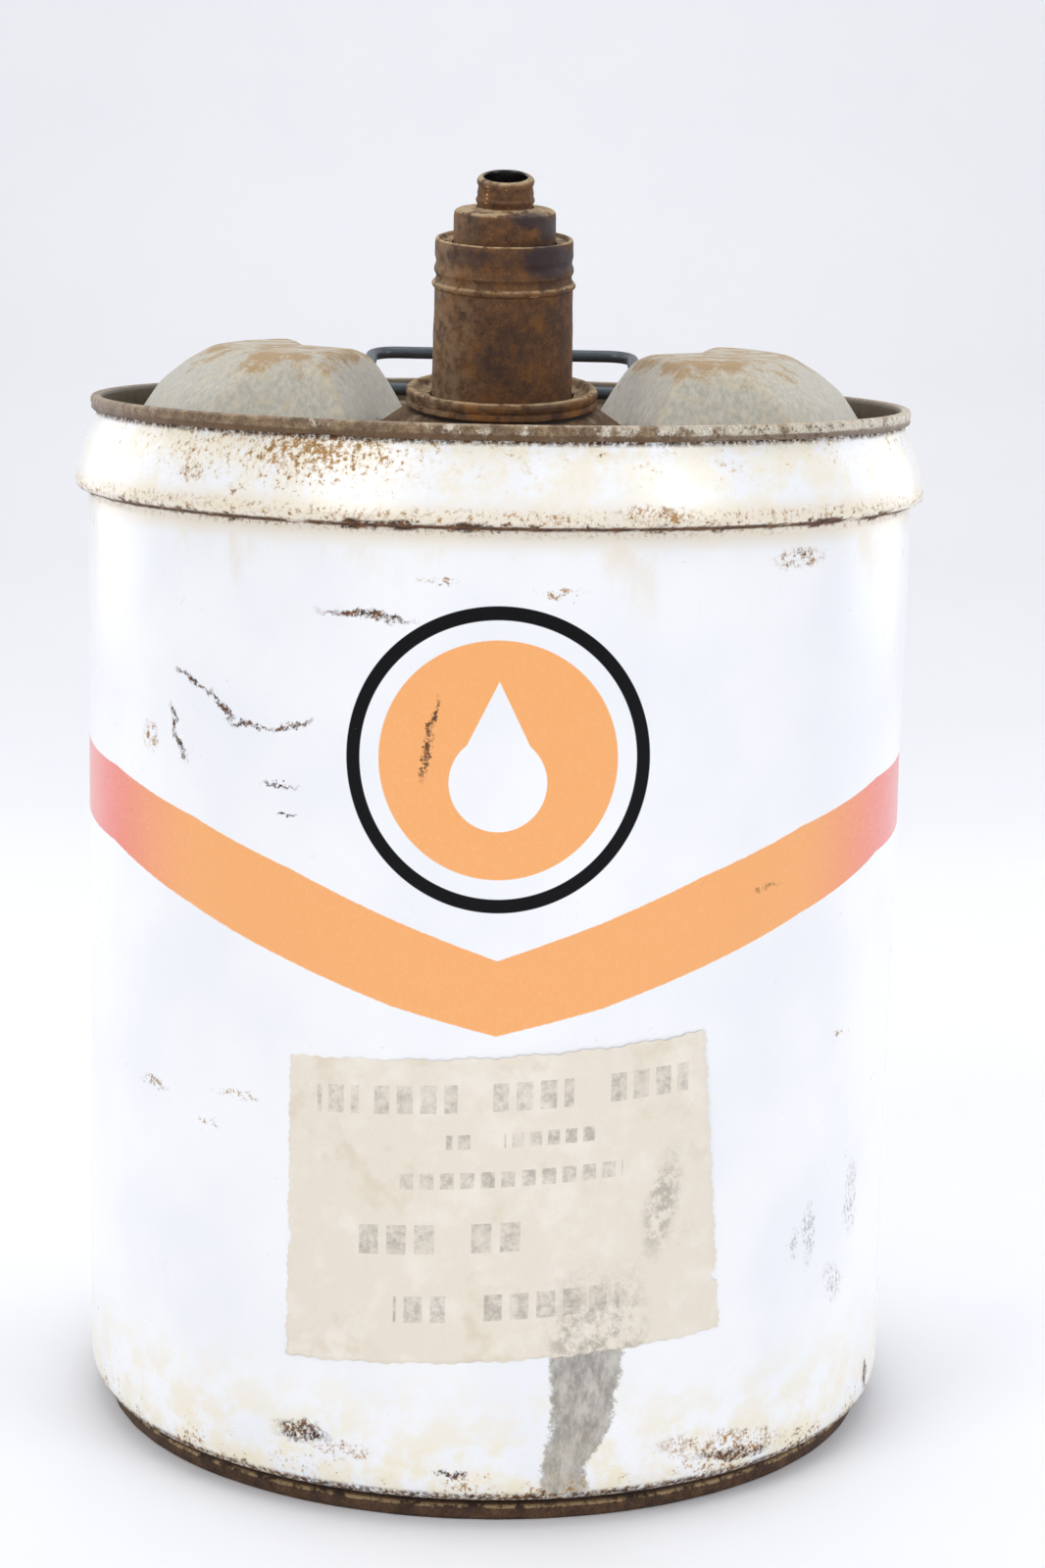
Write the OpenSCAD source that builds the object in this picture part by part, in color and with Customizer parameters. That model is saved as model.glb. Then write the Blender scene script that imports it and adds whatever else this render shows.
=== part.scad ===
// Five gallon tight-head steel oil can with a telescoping pour spout and a wire loop handle.
// Millimetres, +Z up. The origin is the centre of the circle that the bottom chime stands on.
// The front of the can, which carries the spout and the label, faces -Y.

/* [Body] */
// Outer radius of the plain body wall
body_r = 141; // [120:1:170]
// Height from the bottom chime to the top of the rim
can_h = 351.3; // [300:1:430]
// Thickness of the body and head steel
steel_t = 0.7; // [0.6:0.1:1.0]
// How far the top double seam lies inside the body wall's outer face
rim_inset = 0.9; // [0.5:0.1:4]
// How far the bottom chime lies inside the body wall's outer face
chime_inset = 6.6; // [4:0.1:10]
// Height of each rolled seam
seam_h = 5; // [4.5:0.1:7]
// How far the swage bead stands out of the body wall
swage_out = 4.7; // [2:0.1:7]
// Distance of the swage bead below the rim
swage_drop = 28.3; // [22:0.1:40]
// Height over which the lower body curls in to the bottom chime
curl_h = 8; // [6:0.5:14]
// Width of the welded side seam at the back
side_seam_w = 7; // [4:0.5:12]

/* [Head] */
// Depth of the head panel below the rim
panel_drop = 8.3; // [7.5:0.1:12]
// Width of the channel between the panel and the rim wall
channel_w = 6; // [4:0.5:10]
// Depth of that channel below the panel
channel_d = 1.8; // [1:0.1:3]
// Height of the two humps above the head panel
hump_h = 25.3; // [15:0.1:32]
// Clear width between a hump's outer foot and the panel's edge
hump_edge = 5; // [3:0.5:8]
// Angle from the side of the can to a hump's front end, seen from above
hump_front_turn = 43.4; // [38:0.1:46]
// Angle from the side of the can to a hump's back end, seen from above
hump_back_turn = 44.7; // [38:0.1:46]
// Clear width between the handle loop and a hump's inner foot, at its back end
hump_clear = 9.8; // [8:0.1:14]
// Depth of the bottom panel above the ground
bottom_recess = 7; // [6:0.5:14]

/* [Label] */
// Width of the paper label, measured round the can
label_w = 141; // [80:1:180]
// Height of the paper label
label_h = 100; // [60:1:130]
// Height of the label's middle above the ground
label_z = 106; // [80:1:160]
// Thickness of the label
label_t = 0.25; // [0.15:0.05:0.5]

/* [Spout] */
// Distance of the spout's foot inside the edge of the head panel
spout_edge = 61.2; // [56:0.1:75]
// Lean of the spout towards the front, in degrees
spout_lean = 8; // [4:0.5:12]
// Height of the collar's seat above the head panel, on the spout's axis
boss_h = 9.4; // [8:0.1:14]
// Width of the collar outside the hole in the head
collar_w = 5.5; // [4.5:0.1:8]
// Height of the collar
collar_h = 7; // [6:0.1:10]
// Outer radius of the outer tube at its neck band
outer_r = 22; // [20.5:0.1:23]
// Length of outer tube standing out of the collar's seat when pulled up
outer_l = 54.6; // [44:0.1:70]
// Outer radius of the middle tube
mid_r = 16.3; // [14:0.1:17]
// Length of middle tube that stands out of the outer tube when nested
mid_show = 8.9; // [7:0.1:14]
// How far the middle tube pulls out
mid_travel = 30; // [15:1:32]
// Outer radius of the nozzle tube
nozzle_r = 8.7; // [7:0.1:9.5]
// Radius of the nozzle's bore
nozzle_bore_r = 6.8; // [5:0.1:7]
// Length of nozzle that stands out of the middle tube when nested
nozzle_show = 10.8; // [8:0.1:16]
// How far the nozzle pulls out
nozzle_travel = 30; // [15:1:32]
// Wall of the spout tubes
tube_t = 0.8; // [0.7:0.1:1.0]
// How much wider the outer tube is at its foot than at its neck band
taper = 0.6; // [0.2:0.1:0.8]
// How far the outer tube's bead stands out
bead_out = 1.0; // [0.8:0.1:1.6]
// Length of the outer tube's neck band, above its bead
band_h = 14.8; // [10:0.2:18]

/* [Handle] */
// Diameter of the handle wire
wire_d = 4.4; // [3.5:0.1:5.5]
// Half of the loop's width, to the middle of the wire
loop_half = 48; // [42:0.5:49]
// Length of the loop from the pivot bar to the grip
loop_l = 74; // [60:1:76]
// Distance of the pivot bar behind the spout's foot
pivot_gap = 83; // [80:1:88]
// Height of the pivot bar above the head panel
pivot_h = 10.2; // [8:0.1:13]
// Angle of the loop above level as it leans back, in degrees
loop_rise = 7.5; // [5:0.5:9]
// Bend radius at the loop's corners, to the middle of the wire
bend_r = 9; // [7:0.5:12]
// Width of each of the two saddle clips
clip_w = 14; // [10:0.5:18]
// Middle of each clip, from the centre plane
clip_x = 16; // [12:0.5:20]
// Thickness of the clip steel
clip_t = 1.5; // [1:0.1:2]

/* [Fits] */
// Free gap between the layers of a rolled seam
seam_gap = 0.1; // [0.08:0.01:0.15]
// Thickness of the sealing compound in the seams
compound_t = 0.4; // [0.3:0.05:0.6]
// Free gap between a tube and the ring that guides it
slide_gap = 0.3; // [0.25:0.05:0.5]
// Free gap between the handle wire and its clips
wire_gap = 0.08; // [0.05:0.01:0.1]
// Thickness of the rubber seals
seal_t = 1.4; // [1:0.1:2]
// Thickness of the gasket under the collar
gasket_t = 1; // [0.6:0.1:1.6]
// Spare travel left when a spout tube reaches its stop
stop_gap = 1; // [0.5:0.1:2]

/* [Hidden] */
$fn = 96;
eps = 0.01;

white_enamel = [0.95, 0.955, 0.965];
grey_enamel = [0.70, 0.70, 0.66];
rust_brown = [0.42, 0.30, 0.20];
dark_steel = [0.25, 0.26, 0.28];
compound_grey = [0.55, 0.52, 0.42];
paper_tan = [0.88, 0.84, 0.77];
rubber_black = [0.10, 0.10, 0.11];

// ---- sizes that follow from the ones above -------------------------------------------

rim_r = body_r - rim_inset;
chime_r = body_r - chime_inset;
guide_r = outer_r + taper + slide_gap;
grip_t = 1.2;
neck_hole_r = guide_r + seal_t + grip_t;
collar_r = neck_hole_r + collar_w;

// ---- sheet metal helpers -------------------------------------------------------------

function unit(v) = v / norm(v);
function left_of(a, b) = let (d = unit(b - a)) [-d[1], d[0]];
function reversed(p) = [for (i = [len(p) - 1 : -1 : 0]) p[i]];

// The path moved sideways by t, to its left, with mitred corners.
function beside(p, t) = [
    for (i = [0 : len(p) - 1])
        let (last = len(p) - 1)
        let (n0 = left_of(p[max(i - 1, 0)], p[max(i, 1)]))
        let (n1 = left_of(p[min(i, last - 1)], p[min(i + 1, last)]))
        let (m = n0 + n1)
        p[i] + m * 2 * t / (m * m)
];

// A closed outline of sheet t thick that lies to the left of the path.
function sheet(p, t) = concat(p, reversed(beside(p, t)));

// Points of a round corner: centre, radius, first and last angle, number of steps.
function arc(c, r, a0, a1, n) = [
    for (i = [0 : n]) let (a = a0 + (a1 - a0) * i / n) c + r * [cos(a), sin(a)]
];

// ---- double seams --------------------------------------------------------------------
// Layers of a seam, counted inwards from its outer face: end wall, body hook, end hook,
// body wall and the end's inner wall. layer(k) is the outer face of layer k.

layer_pitch = steel_t + seam_gap;
function layer(k) = -k * layer_pitch;
function end_wall_r(seam_r) = seam_r + layer(4) - steel_t;
seam_round = 0.8;
seam_fold = steel_t + compound_t + seam_gap;

// The end's outline over the seam, from its inner wall up, over, down and into its hook.
function end_seam(seam_r) = concat(
    arc([end_wall_r(seam_r) + seam_round, -seam_round], seam_round, 180, 90, 3),
    arc([seam_r - seam_round, -seam_round], seam_round, 90, 0, 3),
    [[seam_r, -seam_h + steel_t], [seam_r - steel_t, -seam_h],
     [seam_r + layer(2) - steel_t, -seam_h],
     [seam_r + layer(2) - steel_t, -seam_fold - steel_t - 2 * seam_gap]]
);

// The body's outline into the same seam, from its wall up, over and down into its hook,
// which ends just clear of the slanted corner inside the end's own fold.
hook_end = steel_t * 1.43 - seam_gap;
function body_seam(seam_r) = [
    [seam_r + layer(3), -seam_fold - steel_t],
    [seam_r + layer(1) - steel_t, -seam_fold - steel_t],
    [seam_r + layer(1) - steel_t, -seam_h + hook_end]
];

function at_top(p) = [for (q = p) [q[0], can_h + q[1]]];
function at_bottom(p) = [for (q = p) [q[0], -q[1]]];

// A ring of compound that fills the fold over the body's flange.
module seam_compound(seam_r) {
    r_out = seam_r + layer(1) - seam_gap;
    r_in = seam_r + layer(3) - steel_t + seam_gap;
    rotate_extrude()
        translate([r_in, -steel_t - compound_t])
            square([r_out - r_in, compound_t]);
}

module top_seam_compound() {
    color(compound_grey)
        translate([0, 0, can_h])
            seam_compound(rim_r);
}

module bottom_seam_compound() {
    color(compound_grey)
        mirror([0, 0, 1])
            seam_compound(chime_r);
}

// ---- body ----------------------------------------------------------------------------

neck_r = rim_r + layer(3);
foot_r = chime_r + layer(3);
swage_z = can_h - swage_drop;
swage_step = 4.5;
swage_round = 1.6;
foot_z = seam_h + 1;
curl_top = foot_z + curl_h;

// Outer face of the body from the bottom hook up to the top hook.
function body_path() = concat(
    reversed(at_bottom(body_seam(chime_r))),
    [[foot_r, foot_z],
     [foot_r + (body_r - foot_r) * 0.62, foot_z + curl_h * 0.28],
     [foot_r + (body_r - foot_r) * 0.90, foot_z + curl_h * 0.60],
     [body_r, curl_top],
     [body_r, swage_z - swage_step],
     [body_r + swage_out * 0.80, swage_z - swage_round],
     [body_r + swage_out, swage_z],
     [body_r + swage_out * 0.92, swage_z + swage_round],
     [neck_r + (body_r + swage_out - neck_r) * 0.40, can_h - seam_h - 6],
     [neck_r, can_h - seam_h - 1]],
    at_top(body_seam(rim_r))
);

module body_shell() {
    seam_angle = side_seam_w / body_r * 180 / PI;
    seam_lap = 0.4;
    color(white_enamel) {
        rotate_extrude() polygon(sheet(body_path(), steel_t));
        // the welded side seam, a low ridge up the back
        rotate([0, 0, 90 - seam_angle / 2])
            rotate_extrude(angle = seam_angle)
                translate([body_r - steel_t / 2, curl_top])
                    square([steel_t / 2 + seam_lap, swage_z - swage_step - curl_top]);
    }
}

// ---- bottom head ---------------------------------------------------------------------

module bottom_head() {
    wall_r = end_wall_r(chime_r);
    panel_r = wall_r - channel_w;
    ring_r = panel_r * 0.72;
    ring_d = 1.5;
    path = concat(
        [[0, -bottom_recess], [ring_r - 6, -bottom_recess],
         [ring_r - 3, -bottom_recess - ring_d], [ring_r + 3, -bottom_recess - ring_d],
         [ring_r + 6, -bottom_recess], [panel_r, -bottom_recess],
         [panel_r + 2, -bottom_recess - channel_d], [wall_r - 1, -bottom_recess - channel_d],
         [wall_r, -bottom_recess - channel_d + 1]],
        end_seam(chime_r));
    color(rust_brown)
        rotate_extrude()
            polygon(sheet(at_bottom(path), steel_t));
}

// ---- top head ------------------------------------------------------------------------

panel_z = can_h - panel_drop;
head_wall_r = end_wall_r(rim_r);
panel_r = head_wall_r - channel_w;
spout_y = panel_r - spout_edge;
pivot_y = pivot_gap - spout_y;

function head_path() = concat(
    at_top(reversed([
        [head_wall_r, -panel_drop - channel_d + 1], [head_wall_r - 1, -panel_drop - channel_d],
        [panel_r + 2, -panel_drop - channel_d], [panel_r, -panel_drop],
        [0, -panel_drop]])),
    at_top(end_seam(rim_r)));

// Outline of the +X hump, seen from above, with its inner and front sides moved in by
// inner and its outer side by outer. The inner side opens towards the back, which leaves
// room for the handle, and the outer side follows the rim.
hump_out_r = panel_r - hump_edge;
hump_in_back = loop_half + wire_d / 2 + hump_clear;
hump_in_front = hump_in_back - 27;
hump_front_y = -hump_out_r * sin(hump_front_turn);
hump_back_y = hump_out_r * sin(hump_back_turn);
hump_end_x = hump_out_r * cos(hump_front_turn) - 3;
function hump_plan(inner, outer) = [
    [hump_in_front + inner, hump_front_y + 20 + inner * 0.8],
    [hump_in_front + 17 + inner * 0.3, hump_front_y + inner * 1.2],
    [hump_end_x - outer * 0.06, hump_front_y + outer * 0.8],
    [hump_out_r * cos(30) - outer * 0.57, -hump_out_r * sin(30) + outer * 0.5],
    [hump_out_r * cos(10) - outer, -hump_out_r * sin(10)],
    [hump_out_r * cos(10) - outer, hump_out_r * sin(10)],
    [hump_out_r * cos(30) - outer * 0.57, hump_out_r * sin(30) - outer * 0.3],
    [hump_end_x - outer * 0.18, hump_back_y - 2 - outer * 0.6],
    [hump_in_back + 6 + inner * 0.1, hump_back_y - inner * 1.1],
    [hump_in_back + inner * 0.35, hump_back_y - 18 - inner * 0.6]
];

// Share of the hump's height, and how far its inner and outer sides have moved in there.
hump_slices = [[0.45, 5.5, 7], [0.75, 9.5, 16], [0.92, 13.5, 25.5], [1, 18, 34]];

// One solid hump, set in by the sheet's thickness when it is the inside.
module hump(inside) {
    inset = inside ? steel_t * 1.25 : 0;
    foot = inside ? -steel_t - 1 : -steel_t;
    top = hump_h - (inside ? steel_t : 0) - eps;
    hull() {
        translate([0, 0, panel_z + foot])
            linear_extrude(steel_t) polygon(hump_plan(inset, inset));
        for (cut = hump_slices)
            translate([0, 0, panel_z + top * cut[0]])
                linear_extrude(eps) polygon(hump_plan(cut[1] + inset, cut[2] + inset));
    }
}

module both_sides() {
    children();
    mirror([1, 0, 0]) children();
}

// Places its children in the spout's frame: foot on the collar's seat, +Z up the spout.
module spout_frame() {
    translate([0, -spout_y, panel_z + boss_h])
        rotate([spout_lean, 0, 0])
            children();
}

// The boss that carries the collar, as a solid whose top is the collar's seat. It flares
// by boss_flare for each millimetre down, so a wall of steel_t is wall_across wide there.
boss_top_r = collar_r - 0.5;
boss_flare = 1.4;
wall_across = steel_t * sqrt(1 + boss_flare * boss_flare);
module boss(inset, cut_top) {
    depth = boss_h * 2.2;
    spout_frame()
        translate([0, 0, -depth])
            cylinder(h = depth - cut_top, r1 = boss_top_r + boss_flare * depth - inset,
                r2 = boss_top_r + boss_flare * cut_top - inset);
}

module top_head() {
    below = 40;
    difference() {
        union() {
            color(grey_enamel) rotate_extrude() polygon(sheet(head_path(), -steel_t));
            color(grey_enamel) both_sides() hump(false);
            // the boss, down to the panel's underside
            color(rust_brown)
                intersection() {
                    boss(0, 0);
                    translate([0, 0, panel_z - steel_t]) cylinder(h = below, r = panel_r);
                }
        }
        both_sides() hump(true);
        boss(wall_across, steel_t);
        spout_frame()
            translate([0, 0, -below]) cylinder(h = below * 2, r = neck_hole_r);
    }
}

// ---- label ---------------------------------------------------------------------------

module paper_label() {
    label_angle = label_w / body_r * 180 / PI;
    glue_gap = 0.02;
    color(paper_tan)
        rotate([0, 0, -90 - label_angle / 2])
            rotate_extrude(angle = label_angle)
                translate([body_r + glue_gap, label_z - label_h / 2])
                    square([label_t, label_h]);
}

// ---- collar and its seals ------------------------------------------------------------
// Drawn along the spout's axis, with 0 at the collar's seat on the boss.

trough_z = 4.2;
lip_w = 3;
skirt_drop = 5;

module spout_gasket() {
    color(rubber_black)
        spout_frame()
            rotate_extrude()
                translate([neck_hole_r + slide_gap, 0])
                    square([collar_r - 1.5 - neck_hole_r - slide_gap, gasket_t]);
}

// Pressed collar: a rolled outer ring, a trough, and a neck that is clinched under the head.
module spout_collar() {
    lip_in = collar_r - lip_w;
    neck_out = neck_hole_r - slide_gap;
    neck_in = guide_r + seal_t;
    color(rust_brown)
        spout_frame()
            rotate_extrude()
                polygon(concat(
                    [[neck_in, -skirt_drop], [neck_out + grip_t + slide_gap, -skirt_drop],
                     [neck_out + grip_t + slide_gap, -steel_t - slide_gap],
                     [neck_out, -steel_t - slide_gap], [neck_out, gasket_t],
                     [collar_r - 0.8, gasket_t], [collar_r, gasket_t + 0.8],
                     [collar_r - 0.5, 3.0], [collar_r, 3.8]],
                    arc([collar_r - 1.4, collar_h - 1.4], 1.4, 0, 90, 4),
                    arc([lip_in + 1.4, collar_h - 1.4], 1.4, 100, 180, 4),
                    [[lip_in - 0.4, trough_z + 0.8], [lip_in - 1.4, trough_z],
                     [guide_r, trough_z], [guide_r, trough_z - grip_t],
                     [neck_in, trough_z - grip_t]]));
}

seal_top = trough_z - grip_t - 0.05;
seal_h = 4;
module collar_seal() {
    color(rubber_black)
        spout_frame()
            translate([0, 0, seal_top - seal_h])
                rotate_extrude()
                    translate([guide_r - slide_gap + 0.05, 0])
                        square([seal_t + slide_gap - 0.1, seal_h]);
}

// A snap ring under the seal. It also stops the outer tube from being pulled out.
module collar_retainer() {
    color(dark_steel)
        spout_frame()
            translate([0, 0, -skirt_drop])
                rotate_extrude()
                    translate([guide_r, 0])
                        square([seal_t - 0.05, skirt_drop + seal_top - seal_h - 0.05]);
}

// ---- outer tube ----------------------------------------------------------------------

foot_flange_t = 1.2;
foot_r_out = outer_r + taper;
foot_flange_r = foot_r_out + 1.6;
outer_foot = -skirt_drop - slide_gap - foot_flange_t;
bead_z = outer_l - band_h;
thread_z = bead_z + 4.3;
deck_drop = 1.6;
outer_bore_r = outer_r - tube_t - 0.2;
deck_hole_r = mid_r + slide_gap;

// The tube is drawn straight up to its bead, and a little wider towards its foot.
module outer_tube() {
    outside = concat(
        [[foot_flange_r, outer_foot], [foot_flange_r, outer_foot + foot_flange_t],
         [foot_r_out, outer_foot + foot_flange_t], [foot_r_out, trough_z + 4],
         [outer_r + 0.1, bead_z - bead_out]],
        arc([outer_r, bead_z], bead_out, -80, 80, 6),
        [[outer_r, thread_z - 1.4], [outer_r + 0.45, thread_z], [outer_r - 0.2, thread_z + 1.4],
         [outer_r, thread_z + 2.4], [outer_r, outer_l - 0.4], [outer_r - 0.4, outer_l]]);
    inside = [
        [outer_r - tube_t, outer_l], [outer_r - tube_t, outer_l - deck_drop],
        [deck_hole_r, outer_l - deck_drop], [deck_hole_r, outer_l - deck_drop - tube_t],
        [outer_bore_r, outer_l - deck_drop - tube_t], [outer_bore_r, bead_z - 6],
        [foot_r_out - tube_t, trough_z + 4], [foot_r_out - tube_t, outer_foot]];
    color(rust_brown)
        spout_frame()
            rotate_extrude() polygon(concat(outside, inside));
}

// A rubber ring under a deck and the washer that holds it, both carried by the wider tube.
module deck_seal(deck_z, tube_r, shell_r) {
    rotate_extrude()
        translate([tube_r + 0.05, deck_z - seal_t])
            square([shell_r - tube_r - 0.1, seal_t]);
}

module deck_washer(deck_z, tube_r, shell_r) {
    rotate_extrude()
        translate([tube_r + slide_gap, deck_z - seal_t - tube_t])
            square([shell_r - tube_r - slide_gap - 0.02, tube_t]);
}

outer_deck_z = outer_l - deck_drop - tube_t;
module mid_seal() {
    color(rubber_black) spout_frame() deck_seal(outer_deck_z, mid_r, outer_bore_r);
}

module mid_seal_washer() {
    color(dark_steel) spout_frame() deck_washer(outer_deck_z, mid_r, outer_bore_r);
}

// ---- middle tube ---------------------------------------------------------------------

mid_top = outer_l + mid_show;
mid_flange_z = outer_deck_z - seal_t - tube_t - mid_travel - stop_gap;
mid_deck_hole_r = nozzle_r + slide_gap;
mid_deck_rise = 0.9;
module mid_tube() {
    flange_t = 1;
    color(rust_brown)
        spout_frame()
            rotate_extrude()
                polygon(concat(
                    [[mid_r - tube_t, mid_flange_z - flange_t],
                     [outer_bore_r - slide_gap, mid_flange_z - flange_t],
                     [outer_bore_r - slide_gap, mid_flange_z],
                     [mid_r, mid_flange_z]],
                    arc([mid_r - 1.2, mid_top - 1.2], 1.2, 0, 80, 4),
                    [[mid_deck_hole_r, mid_top + mid_deck_rise],
                     [mid_deck_hole_r, mid_top + mid_deck_rise - tube_t],
                     [mid_r - 1.6, mid_top - tube_t], [mid_r - tube_t, mid_top - 1.6]]));
}

mid_deck_z = mid_top - tube_t;
mid_bore_r = mid_r - tube_t - 0.9;
module nozzle_seal() {
    color(rubber_black) spout_frame() deck_seal(mid_deck_z - 0.1, nozzle_r, mid_bore_r);
}

module nozzle_seal_washer() {
    color(dark_steel) spout_frame() deck_washer(mid_deck_z - 0.15, nozzle_r, mid_r - tube_t);
}

// ---- nozzle --------------------------------------------------------------------------

nozzle_top = mid_top + mid_deck_rise + nozzle_show;
nozzle_foot = mid_deck_z - seal_t - tube_t - nozzle_travel - stop_gap;
module nozzle_tube() {
    lip_r = 1.5;
    flange_t = 1;
    bead = mid_top + mid_deck_rise + nozzle_show * 0.45;
    color(rust_brown)
        spout_frame()
            rotate_extrude()
                polygon(concat(
                    [[nozzle_bore_r, nozzle_foot - flange_t],
                     [mid_r - tube_t - slide_gap, nozzle_foot - flange_t],
                     [mid_r - tube_t - slide_gap, nozzle_foot],
                     [nozzle_r, nozzle_foot], [nozzle_r, bead - 1.4],
                     [nozzle_r + 0.5, bead - 0.4], [nozzle_r + 0.5, bead + 0.4],
                     [nozzle_r, bead + 1.4]],
                    arc([nozzle_r - lip_r, nozzle_top - lip_r], lip_r, 0, 80, 4),
                    [[nozzle_bore_r + 0.2, nozzle_top], [nozzle_bore_r, nozzle_top - 0.3]]));
}

// ---- handle --------------------------------------------------------------------------

// Places its children in the loop's frame: the pivot bar along X, the grip towards +Y.
module loop_frame() {
    translate([0, pivot_y, panel_z + pivot_h])
        rotate([loop_rise, 0, 0])
            children();
}

module wire_x(from, to) {
    translate([from, 0, 0])
        rotate([0, 90, 0])
            cylinder(h = to - from, d = wire_d);
}

// A bend in the wire, turning from one direction to another about its centre.
module wire_bend(centre, from, turn) {
    translate([centre[0], centre[1], 0])
        rotate([0, 0, from])
            rotate_extrude(angle = turn)
                translate([bend_r, 0]) circle(d = wire_d);
}

// One side of the loop: a straight side wire between two round corners.
corner_x = loop_half - bend_r;
module side_wire() {
    translate([loop_half, bend_r, 0])
        rotate([-90, 0, 0])
            cylinder(h = loop_l - 2 * bend_r, d = wire_d);
    wire_bend([corner_x, bend_r], -90, 90);
    wire_bend([corner_x, loop_l - bend_r], 0, 90);
}

module handle_loop() {
    color(dark_steel)
        loop_frame() {
            wire_x(-corner_x, corner_x);
            translate([0, loop_l, 0]) wire_x(-corner_x, corner_x);
            both_sides() side_wire();
        }
}

// Two bent straps, spot welded to the panel, that the pivot bar turns in.
module saddle_clip() {
    bore_r = wire_d / 2 + wire_gap;
    arch_r = bore_r + clip_t;
    foot_l = 7;
    rotate([90, 0, 90])
        linear_extrude(clip_w, center = true)
            difference() {
                union() {
                    circle(r = arch_r);
                    translate([-arch_r, -pivot_h]) square([arch_r * 2, pivot_h]);
                    translate([-arch_r - foot_l, -pivot_h]) square([(arch_r + foot_l) * 2, clip_t]);
                }
                circle(r = bore_r);
                translate([-bore_r + 0.8, -pivot_h - 1])
                    square([bore_r * 2 - 1.6, pivot_h - bore_r - 0.4]);
            }
}

module saddle_clips() {
    color(grey_enamel)
        both_sides()
            translate([clip_x, pivot_y, panel_z + pivot_h])
                saddle_clip();
}

body_shell();
top_head();
bottom_head();
top_seam_compound();
bottom_seam_compound();
paper_label();
spout_gasket();
spout_collar();
collar_seal();
collar_retainer();
outer_tube();
mid_seal();
mid_seal_washer();
mid_tube();
nozzle_seal();
nozzle_seal_washer();
nozzle_tube();
handle_loop();
saddle_clips();
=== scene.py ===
import bmesh
import bpy
import math
import numpy as np
from mathutils import Matrix, Vector


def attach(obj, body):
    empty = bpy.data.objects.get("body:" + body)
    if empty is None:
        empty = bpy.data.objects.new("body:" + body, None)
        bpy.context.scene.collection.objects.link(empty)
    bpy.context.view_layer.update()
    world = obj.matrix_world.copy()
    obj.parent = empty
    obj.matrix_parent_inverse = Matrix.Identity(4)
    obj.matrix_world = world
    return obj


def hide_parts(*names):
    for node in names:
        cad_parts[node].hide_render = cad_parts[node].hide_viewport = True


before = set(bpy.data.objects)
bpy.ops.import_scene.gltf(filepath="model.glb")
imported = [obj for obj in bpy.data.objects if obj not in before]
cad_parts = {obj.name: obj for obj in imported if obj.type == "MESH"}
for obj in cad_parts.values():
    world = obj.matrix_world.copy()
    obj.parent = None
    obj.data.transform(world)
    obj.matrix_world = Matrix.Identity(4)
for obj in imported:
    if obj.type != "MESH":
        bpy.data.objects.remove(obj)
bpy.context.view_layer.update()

MM = 0.001

# ---- sizes in millimetres, as in the CAD model -------------------------------------------

BODY_R = 141.0
HALF_ROUND = 221.5  # from the front of the can to the back, round its side
BEAD_Z = 323.0  # the widest line of the bead
CREASE_Z = 320.4  # the sharp crease below the bead
RIM_Z = 351.3
RIM_R = 140.1
PANEL_Z = 343.0  # the flat part of the head
PANEL_R = 130.2
HUMP_H = 25.3  # above the panel
SPOUT_Y = -69.0  # where the spout's axis meets the collar's seat
SEAT_Z = 352.4
LEAN = math.radians(8)
NECK_HOLE_R = 25.6
SPOUT = Matrix.Translation((0, SPOUT_Y, SEAT_Z)) @ Matrix.Rotation(LEAN, 4, "X")

# ---- what is painted and pasted on the can: (arc length from the front, height) ----------

CHEVRON_ARC = 1.8
# the chevron's edges: (arc length from its point, height)
CHEVRON_TOP = [(0, 186.2), (33, 198), (67, 211), (107, 223), (155, 232.5), (222, 237)]
CHEVRON_FOOT = [(0, 162.2), (33, 170.5), (67, 181.5), (108, 194.5), (157, 207), (222, 212)]
BADGE_AT = (1.0, 249.0)
BADGE_RING_R = 45.5
BADGE_DISC_EDGE = (37.4, 37.0)  # the radius where it starts to fade, and where it is full
DROP_EDGE = (15.3, 15.0)
LABEL_MIDDLE = (5.0, 106.4)
LABEL_SLOPE = math.tan(math.radians(3.8))
# the label's upper corners, and the way down to the lower ones
LABEL_TOP_LEFT, LABEL_LEFT_EDGE = (-65.2, 151.7), (-0.6, -99.8)
LABEL_TOP_RIGHT, LABEL_RIGHT_EDGE = (70.8, 160.8), (9.0, -99.7)
LABEL_W, LABEL_H = 141, 100
# the edges of the grey run below the label: (depth below its top, arc length)
RUN_TOP = 80.0
RUN_LEFT = [(0, 30), (22, 21), (45, 22), (60, 19), (90, 19)]
RUN_RIGHT = [(0, 46), (30, 44), (48, 41), (60, 33), (90, 36)]

# ---- the camera, solved from the photograph's outlines -----------------------------------

CAMERA_AT = (-0.000625, -1.08413, 0.41095)  # metres
PITCH, ROLL, YAW = 10.15, 1.158, 0.556  # degrees
SENSOR, LENS = 36.0, 71.91


# ---- node helpers ------------------------------------------------------------------------

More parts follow.
